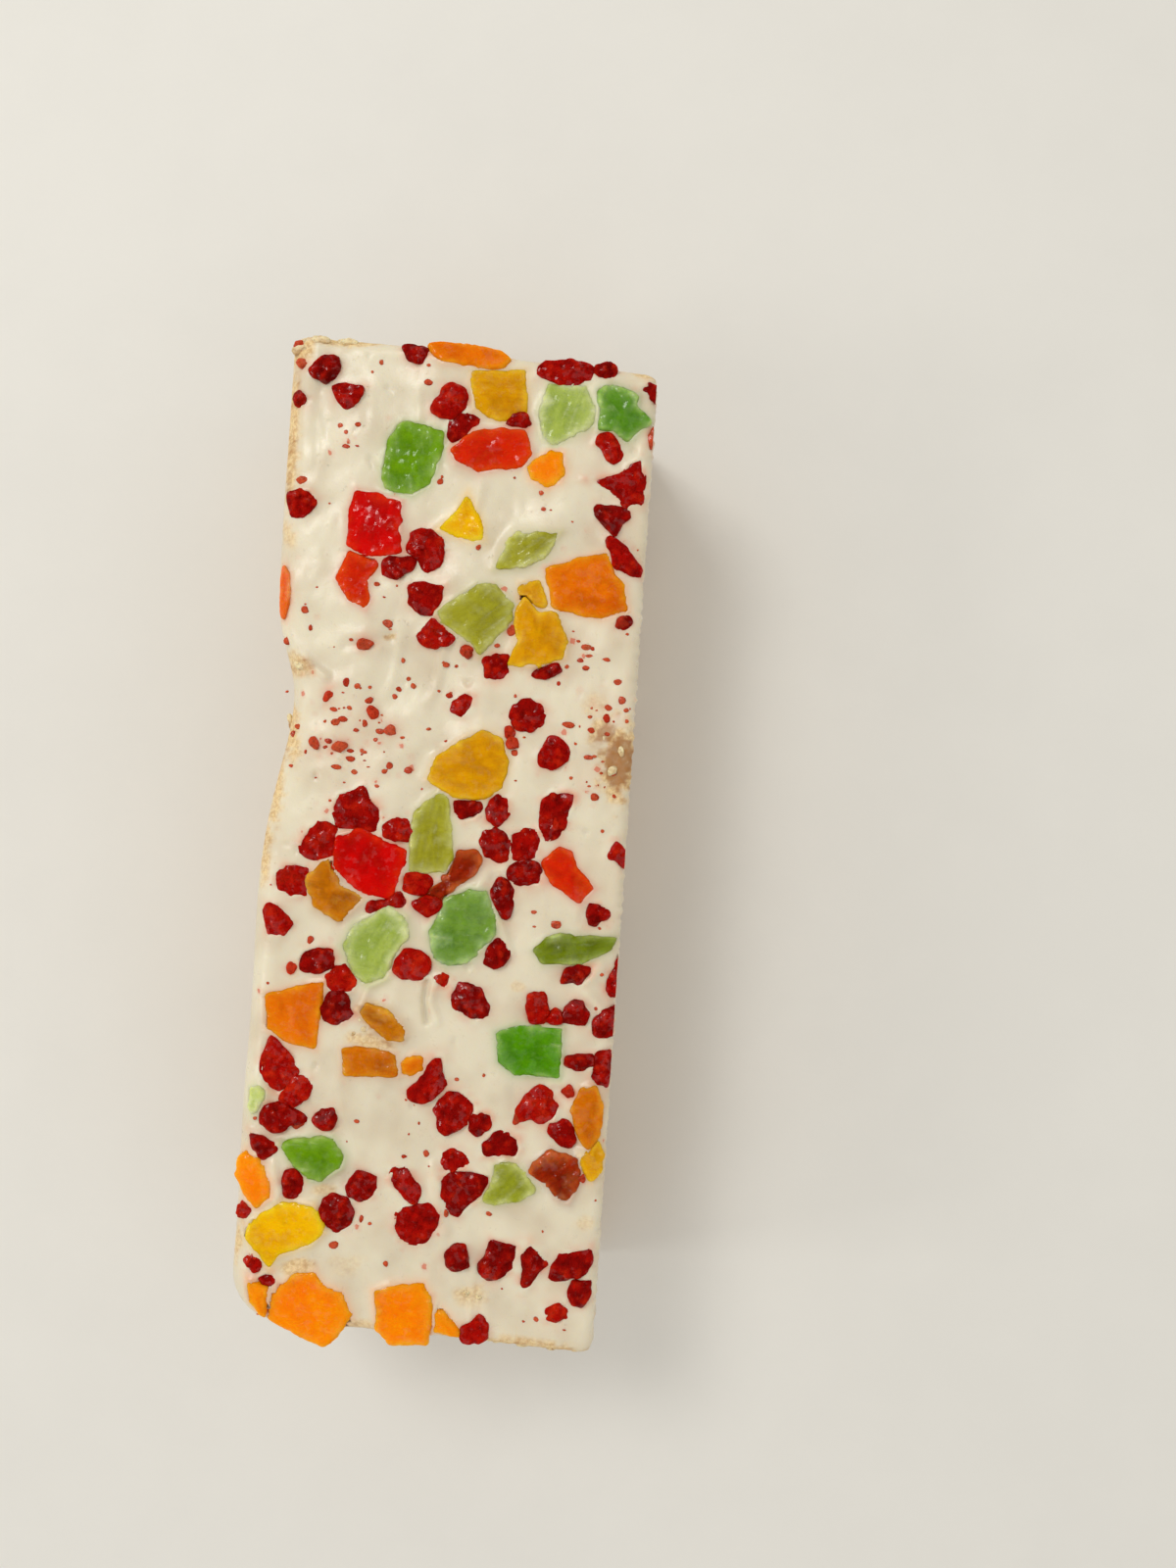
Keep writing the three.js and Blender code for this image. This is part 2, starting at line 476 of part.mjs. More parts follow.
function slope(rise) {
  const steepest = THREE.MathUtils.degToRad(STEEPEST_FRUIT);
  return THREE.MathUtils.clamp(Math.atan(rise), -steepest, steepest);
}

// Where a piece lies: it follows the marshmallow's slope, with a small tilt of its own.
function fruitPlace(points, { x, y }, item) {
  const reach = 0.8;
  const riseX = (heightAt(x + reach, y) - heightAt(x - reach, y)) / (2 * reach);
  const riseY = (heightAt(x, y + reach) - heightAt(x, y - reach)) / (2 * reach);
  const tiltX = slope(riseY) + 0.08 * (draw(item, 60) - 0.5);
  const tiltY = -slope(riseX) + 0.08 * (draw(item, 61) - 0.5);
  const top = heightAt(x, y) + between(FRUIT_PROUD, draw(item, 62));
  const farthest = Math.max(...points.map((point) => point.length()));
  const dip = farthest * Math.max(Math.abs(tiltX), Math.abs(tiltY));
  const depth = Math.min(FRUIT_DEPTH, top - dip - FRUIT_FLOOR);
  return { position: new THREE.Vector3(x, y, top), rotation: new THREE.Euler(tiltX, tiltY, 0), depth };
}

// The piece hangs down from its own origin, the middle of its top.
function fruitBody(points, depth) {
  const normals = sideNormals(points);
  const narrowest = Math.min(...points.map((point, index) => point.dot(normals[index])));
  const bevel = Math.min(FRUIT_BEVEL, BEVEL_SHARE * narrowest);
  const geometry = new THREE.ExtrudeGeometry(fruitShape(points, 0), {
    depth: depth - 2 * bevel,
    bevelThickness: bevel,
    bevelSize: bevel,
    bevelOffset: -bevel,
    bevelSegments: 1,
  });
  geometry.translate(0, 0, bevel - depth);
  return geometry;
}

function pocketBody(points, depth) {
  const headroom = 3;
  const settings = { depth: depth + GAP + headroom, bevelEnabled: false };
  const geometry = new THREE.ExtrudeGeometry(fruitShape(points, GAP * 1.15), settings);
  geometry.translate(0, 0, -depth - GAP);
  return geometry;
}

function placed(geometry, { position, rotation }) {
  const turn = new THREE.Quaternion().setFromEuler(rotation);
  return geometry.applyQuaternion(turn).translate(position.x, position.y, position.z);
}

function fruitPieces() {
  const pieces = FRUIT.map(([name, corners], index) => {
    const middle = middleOf(corners);
    const points = corners.map((corner) => new THREE.Vector2(...corner).sub(middle));
    const place = fruitPlace(points, middle, index + 1);
    return {
      name,
      middle,
      reach: Math.max(...points.map((point) => point.length())) + 2 * GAP,
      solid: solidOf(placed(fruitBody(points, place.depth), place)),
      pocket: solidOf(placed(pocketBody(points, place.depth), place)),
    };
  });
  pieces.forEach((piece, index) => {
    for (const upper of pieces.slice(0, index)) {
      if (upper.middle.distanceTo(piece.middle) < upper.reach + piece.reach) {
        piece.solid = piece.solid.subtract(upper.pocket);
      }
    }
    piece.solid = largestBody(piece.solid, SLIVER.fruit);
  });
  return pieces;
}

// ---------------------------------------------------------------- the whole bar

const bar = new THREE.Group();
bar.position.set(-FOOTPRINT_MIDDLE[0], -FOOTPRINT_MIDDLE[1], 0);

const pieces = fruitPieces();
const crumbs = CRUMBS.map((row, index) => crumbSolid(row, index + 1));
const pockets = pieces.map((piece) => piece.pocket);
const marshmallow = wasm.Manifold.union([marshmallowSlab(), ...crumbs])
  .subtract(wasm.Manifold.union(pockets));

bar.add(namedMesh("dough_block", doughBlock(), "dough"));
const topping = largestBody(marshmallow, SLIVER.marshmallow);
bar.add(namedMesh("marshmallow_top", geometryOf(topping), "marshmallow"));
for (const piece of pieces) {
  bar.add(namedMesh(piece.name, geometryOf(piece.solid), piece.name.split("_")[0]));
}

const group = new THREE.Group();
group.add(bar);

export default group;
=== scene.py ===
"""A bar of sachima: puffed fried dough strands under marshmallow set with candied fruit and berry crumbs.

Laid out as an add-on and run as a script. Lengths are millimetres, with x across the bar, y along it and z up
from its base. Every mesh is written in metres, in the frame of the solids.
"""

import math

import bpy
import numpy as np
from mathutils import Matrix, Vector


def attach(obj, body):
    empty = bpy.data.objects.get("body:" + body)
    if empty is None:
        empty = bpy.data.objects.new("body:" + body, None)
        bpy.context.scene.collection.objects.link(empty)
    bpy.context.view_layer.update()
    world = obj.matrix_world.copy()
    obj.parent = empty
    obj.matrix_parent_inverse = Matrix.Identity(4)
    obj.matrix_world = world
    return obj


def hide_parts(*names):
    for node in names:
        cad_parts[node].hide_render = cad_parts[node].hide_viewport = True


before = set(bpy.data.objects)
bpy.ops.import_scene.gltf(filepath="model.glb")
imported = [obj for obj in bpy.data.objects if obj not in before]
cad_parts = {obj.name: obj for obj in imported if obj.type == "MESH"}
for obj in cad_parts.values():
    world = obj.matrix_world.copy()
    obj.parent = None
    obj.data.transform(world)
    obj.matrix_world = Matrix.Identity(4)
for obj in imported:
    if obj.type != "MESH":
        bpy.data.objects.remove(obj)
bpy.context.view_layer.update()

bl_info = {
    "name": "Sachima bar",
    "version": (1, 0, 0),
    "blender": (4, 5, 0),
    "location": "3D View > Sidebar > Sachima",
    "description": "Builds a bar of sachima with candied fruit, berry crumbs and a studio around it",
    "category": "Object",
}

MM = 0.001
FAR = 99.0
TINY = 1e-9

# The number from which each kind of piece counts its repeatable draws. Fruit and large crumbs count from 1.
SMALL_CRUMB_ITEMS = 300
BASE_ITEMS = 400
SPECK_ITEMS = 500
BIT_ITEMS = 700

# ---------- the bar's driving dimensions, mm and degrees

LEFT_FACE = -19.4
RIGHT_FACE = 18.5
HIGH_END = 50.75
LOW_END = -50.1
END_SLANT = -0.045
CORNER = 1.2
WORN_CORNER = 4.2
WAIST_DEPTH = 2.4
WAIST_MIDDLE = 13.5
WAIST_SPREAD = (10, 6.2)
FOOTPRINT_MIDDLE = (-0.25, -0.09)

DOUGH_HEIGHT = 22.5
STRAND_ROWS = (3.6, 11.2, 18.8)
STRAND_PITCH = 9.8
STRAND_RADIUS = (2.7, 3.6)
STRAND_REACH = (9, 16)
STRAND_DEPTH = (0.7, 1)
STRAND_TILT = 1.3
STRAND_YAW = 0.5
STRAND_STRAY = (0.3, 2.2)
THROUGH_SHARE = 0.36
THROUGH_DEPTH = 0.4

MALLOW_LEVEL = 26.7
LEFT_ROUNDING = 3.0
EDGE_ROUNDING = 1.3
DEEPEST_ROUNDING = 3.1

FRUIT_DEPTH = 3.2
FRUIT_FLOOR = 23.5
FRUIT_PROUD = (0.3, 0.75)
STEEPEST_FRUIT = 14
CRUMB_PROUD = (0.4, 0.75)
CRUMB_SUNK = 0.15

# Candied fruit: name, finish, turn of its fibres, then x and y of its outline's corners, anticlockwise.
FRUIT = (
    ("orange_1", "deep_orange", 0, -4.5, 49.9, -3.4, 49.1, 0.2, 48.9, 2.8, 49.2, 3.4, 50.5, 2.5, 51.2,
     -0.3, 51.6, -3.5, 51.5, -5.2, 51.1),
    ("yellow_1", "amber_yellow", 0, 0, 44.7, 2.6, 43.6, 5.5, 44.2, 5.4, 46.8, 5, 49.3, -0.7, 48.6),
    ("lime_1", "pale_green", 70, 6.4, 45.1, 7.1, 42.3, 8.3, 41.4, 9.7, 42.4, 12.2, 43.8, 12.6, 45.7,
     11.2, 48, 7.4, 48.1),
    ("green_1", "sea_green", -50, 12.8, 43.5, 14.3, 43.3, 15.9, 42.3, 18.3, 44.8, 16.8, 46.1, 16.7, 47.4,
     13.8, 48.5, 12.3, 47.7),
    ("green_2", "bright_green", 100, -7.9, 42.7, -8.7, 41.2, -9.2, 38.2, -8.8, 36.3, -7.4, 35.5, -5.7, 35.5,
     -3.9, 36.7, -3.3, 38.6, -2.8, 40.7, -2.8, 42.5, -5.6, 43.2, -7.2, 43.3),
    ("red_1", "orange_red", 10, -1.5, 39.2, 0.9, 38.2, 5.4, 39.1, 6.4, 40.5, 5.4, 43, 2.9, 43.1, 0, 42.6,
     -2.3, 40.4),
    ("orange_2", "bright_orange", 0, 5.4, 39.3, 6.2, 37.9, 7.9, 37, 9.4, 37.9, 9.8, 39.1, 9.4, 41.1,
     8, 41.2),
    ("red_2", "clear_red", 78, -12.2, 33.9, -12.1, 30, -9.4, 29, -6.3, 29.6, -6.6, 32, -6.6, 35, -9.2, 35.6,
     -11.6, 36),
    ("red_3", "orange_red", 70, -13, 26.7, -11.4, 24.4, -9.6, 23.5, -9.1, 24.6, -9.5, 25.6, -9.4, 27,
     -8.6, 28.2, -8.8, 29.2, -11.9, 29.7),
    ("yellow_2", "bright_yellow", 0, -1.2, 34.3, -3.1, 32.2, 0.7, 31.1, 2, 31.5, 1.7, 33.3, -0.1, 36.5),
    ("lime_2", "olive_green", 35, 4.2, 31.2, 3.1, 28.5, 6.1, 28.9, 8.3, 29.9, 9.8, 32.8, 5.1, 32.4),
    ("orange_3", "deep_orange", 0, 9.3, 25, 14.3, 24.2, 17.2, 25.2, 16.6, 28.1, 15.5, 29, 14.6, 31.4,
     11.4, 30.3, 8.2, 29.1),
    ("yellow_4", "amber_yellow", 80, 5.4, 24.5, 5.9, 21.5, 5, 18.9, 8.3, 19, 11, 20.1, 11.1, 21.7, 9.8, 24.8,
     7.9, 24.6, 6.4, 26.2),
    ("yellow_3", "amber_yellow", 0, 5.6, 25.5, 7.1, 25.1, 9, 25, 8, 27.8, 5.7, 27.5),
    ("lime_3", "olive_green", 40, -1.8, 22.7, 1.2, 21, 2.3, 19.7, 5.4, 23.6, 5.5, 25.2, 3.4, 27.2, 1.4, 27,
     -2.6, 23.9),
    ("red_4", "coral", 0, -18.7, 25, -18.5, 22.2, -17.9, 22.2, -17.5, 25, -17.6, 26.6, -18.6, 27.9),
    ("yellow_5", "amber_yellow", 0, 1.1, 11.4, -1.7, 9, -2.3, 6.8, 0.8, 5.1, 3.8, 5.2, 5.5, 6.4, 6, 9.1,
     5.2, 11.7, 3.1, 12.3),
    ("lime_4", "olive_green", 84, -3.1, 3.8, -3.7, 2, -3.6, -2.8, 0.4, -2.6, 1, -0.9, 0.7, 2.3, 0, 5.3,
     -1, 5.8),
    ("red_5", "clear_red", 50, -11.4, -2.7, -8.1, -5.3, -5.1, -5.7, -3.8, -1.9, -3.9, -0.5, -7.1, 0.8,
     -8.3, 1.5, -11, 0.6),
    ("yellow_6", "brown_amber", 0, -14.1, -4.5, -12.9, -7, -10.2, -8.4, -7.6, -5.7, -10.3, -4.3, -11.1, -1.7,
     -12.4, -2.1),
    ("lime_5", "pale_green", 60, -6.6, -7.1, -8.9, -8.3, -10, -10.7, -9, -13.5, -7, -14.7, -5, -13.9,
     -4.5, -11.7, -3, -9.2, -3.3, -7.2, -5.5, -6),
    ("green_3", "cool_green", 0, -1.2, -8.7, -0.5, -11.4, 0.9, -12.1, 3.6, -11.3, 5.8, -8.5, 6, -6.8,
     4.6, -4, 2.8, -3.8, 0.2, -5),
    ("red_6", "orange_red", -45, 10.8, -2.9, 14.1, -4.9, 15.7, -3.2, 13.7, -1.1, 12.9, 0.6, 11.6, 1,
     9.7, -0.8),
    ("green_4", "dull_green", 10, 10.7, -11.1, 14.9, -11, 17.7, -9.3, 18.3, -7.9, 12.3, -7.8, 10.8, -8.4,
     9.6, -9.8),
    ("berry_1", "berry_brown", 45, 0.3, -2.1, -0.5, -3.7, -2.4, -5.1, -2.9, -6.1, -1.3, -7.4, 0.4, -5.6,
     1.4, -4, 2.4, -3.2, 3.3, -2.6, 4, -1.3, 3.6, 0.1, 1.1, -0.1),
    ("orange_4", "deep_orange", 0, -16.9, -19.7, -14.3, -21.1, -11.6, -21.4, -11.4, -17, -11.3, -14.3,
     -17.5, -16),
    ("yellow_7", "brown_amber", 0, -7, -18.1, -5.8, -19.1, -4.4, -20, -2.9, -19.9, -2.5, -19, -3.2, -17.9,
     -4.8, -16.8, -6.9, -16.1, -7.8, -17.1),
    ("orange_5", "dull_orange", 0, -8.8, -23.8, -3.1, -23.6, -3.4, -21.1, -5.6, -20.8, -7.7, -20.7,
     -9.1, -21),
    ("orange_6", "deep_orange", 0, -3, -23.3, -2, -23.5, -0.6, -22.9, -0.6, -21.5, -1.8, -21.2, -3.1, -22.1),
    ("green_5", "leaf_green", 0, 6.8, -21.4, 8.5, -22.7, 11.1, -22.7, 13.4, -22.9, 13.4, -20.1, 13.3, -17.4,
     8.4, -17.3, 6.3, -18.3),
    ("lime_6", "milky_green", 0, -18.2, -27.6, -17.8, -28.5, -17.1, -27.8, -16.4, -26.1, -17.2, -25.3,
     -18.2, -25.6),
    ("green_6", "bright_green", 0, -13.8, -32.7, -11.6, -34.7, -10.3, -34.8, -8.2, -33.3, -7.9, -32.1,
     -9.4, -30, -12.9, -30.3, -14.7, -30.9),
    ("orange_7", "bright_orange", 0, -19.2, -33.3, -19.3, -34.7, -18.2, -36.8, -16.7, -38.1, -15, -36.6,
     -15.2, -34.7, -16.9, -32.4, -18.4, -32.2),
    ("yellow_8", "bright_yellow", 0, -17.2, -39.4, -17.8, -40.8, -14.9, -43.9, -14, -42.5, -10.7, -41.1,
     -9.4, -39.7, -10.7, -36.9, -14.4, -36.9),
    ("berry_2", "berry_brown", 40, 10.7, -32.3, 12.7, -33.5, 14, -35, 15.1, -35.2, 15.8, -33.7, 16.1, -32.5,
     15.7, -30.5, 12.7, -29.8, 10.9, -31.4),
    ("lime_7", "fresh_lime", 50, 6.9, -33.9, 5.9, -35.7, 7.4, -36, 10.2, -35.2, 11.8, -33.9, 10.2, -31.9,
     8.6, -31.2, 7.1, -31.7),
    ("orange_8", "dull_orange", 0, 14.5, -25.8, 15.5, -28.6, 16.7, -29.8, 17.7, -28.2, 17.9, -25.2, 17, -23,
     15.4, -23.4),
    ("yellow_9", "amber_yellow", 0, 15.7, -30.2, 16.5, -31.9, 17.2, -32.9, 18.2, -31.8, 18.4, -30,
     17.7, -28.5, 16.7, -29.7),
    ("orange_9", "bright_orange", 0, -14.7, -46.6, -14.9, -49.2, -11.8, -50.6, -8.8, -51.8, -7.6, -50.5,
     -6.1, -48, -7.3, -45.5, -9.1, -44.9, -10.2, -43.7, -12.3, -43.9),
    ("orange_10", "bright_orange", 0, -16.7, -47.2, -14.9, -49, -14.6, -47.9, -14.8, -45.7, -17.1, -44.9),
    ("orange_11", "bright_orange", 0, -3.7, -49.3, -2.2, -50.9, 1.7, -50.8, 2, -48.5, 1.9, -46, 0.9, -44.3,
     -2.6, -44.6, -4.3, -45.3),
    ("orange_12", "bright_orange", 0, 2.1, -49.5, 4.9, -49.9, 4.8, -49, 3, -47.2, 2, -47.3),
)

# Finish: body, edge and deep colours on a screen, the edge one a painted glow of light through the thin rim,
# then the share of frost and painted rim whitening, edge rounding mm, crown mm, relief mm, fibre.
FINISHES = {
    "deep_orange": ((228, 116, 0), (246, 156, 24), (196, 78, 0), 0.0, 0.5, 0.05, 0.06, 0.0),
    "bright_orange": ((254, 140, 0), (255, 172, 36), (246, 108, 0), 0.03, 0.6, 0.14, 0.06, 0.0),
    "dull_orange": ((206, 110, 0), (232, 152, 34), (164, 74, 0), 0.05, 0.45, 0.05, 0.08, 0.2),
    "amber_yellow": ((218, 154, 0), (238, 186, 40), (182, 112, 0), 0.08, 0.45, 0.06, 0.07, 0.5),
    "bright_yellow": ((240, 182, 0), (250, 210, 34), (212, 142, 0), 0.06, 0.55, 0.1, 0.06, 0.3),
    "brown_amber": ((196, 114, 0), (224, 158, 52), (146, 70, 0), 0.08, 0.45, 0.06, 0.09, 0.5),
    "pale_green": ((166, 182, 84), (214, 220, 158), (126, 150, 44), 0.6, 0.5, 0.08, 0.09, 0.6),
    "olive_green": ((162, 158, 40), (204, 204, 112), (128, 122, 6), 0.4, 0.45, 0.06, 0.08, 0.6),
    "cool_green": ((114, 150, 52), (178, 206, 130), (68, 112, 18), 0.6, 0.6, 0.08, 0.1, 0.4),
    "milky_green": ((190, 202, 116), (226, 230, 174), (156, 174, 76), 0.55, 0.5, 0.08, 0.09, 0.6),
    "fresh_lime": ((148, 154, 34), (196, 202, 104), (112, 116, 4), 0.35, 0.45, 0.06, 0.08, 0.6),
    "sea_green": ((92, 142, 28), (164, 198, 104), (44, 102, 2), 0.5, 0.6, 0.08, 0.1, 0.4),
    "leaf_green": ((84, 146, 4), (142, 188, 80), (46, 106, 0), 0.4, 0.6, 0.1, 0.09, 0.3),
    "bright_green": ((108, 152, 6), (162, 194, 84), (68, 114, 0), 0.4, 0.6, 0.1, 0.09, 0.3),
    "dull_green": ((114, 130, 14), (168, 180, 92), (74, 84, 0), 0.35, 0.5, 0.04, 0.09, 0.6),
    "clear_red": ((206, 2, 0), (228, 40, 6), (154, 0, 0), 0.0, 0.45, 0.05, 0.07, 0.5),
    "orange_red": ((212, 38, 0), (234, 84, 16), (172, 6, 0), 0.02, 0.5, 0.1, 0.07, 0.4),
    "coral": ((232, 106, 36), (246, 146, 84), (206, 70, 10), 0.1, 0.3, 0.05, 0.06, 0.2),
    "berry_brown": ((150, 34, 0), (200, 98, 40), (98, 6, 0), 0.12, 0.5, 0.14, 0.2, 0.8),
}

# Colour of sugar bloom and of the painted whitening of the glowing rim on a screen, red, green and blue reach
# of light in it, and share of wet spots.
CANDIED = {
    "orange": ((255, 200, 110), (1.0, 0.45, 0.03), 0.3),
    "yellow": ((250, 222, 130), (1.0, 0.75, 0.04), 0.3),
    "green": ((206, 220, 160), (0.75, 1.0, 0.1), 0.4),
    "lime": ((230, 230, 184), (0.95, 1.0, 0.2), 0.35),
    "red": ((244, 130, 90), (1.0, 0.12, 0.01), 0.3),
    "berry": ((214, 130, 80), (0.9, 0.2, 0.03), 0.35),
}

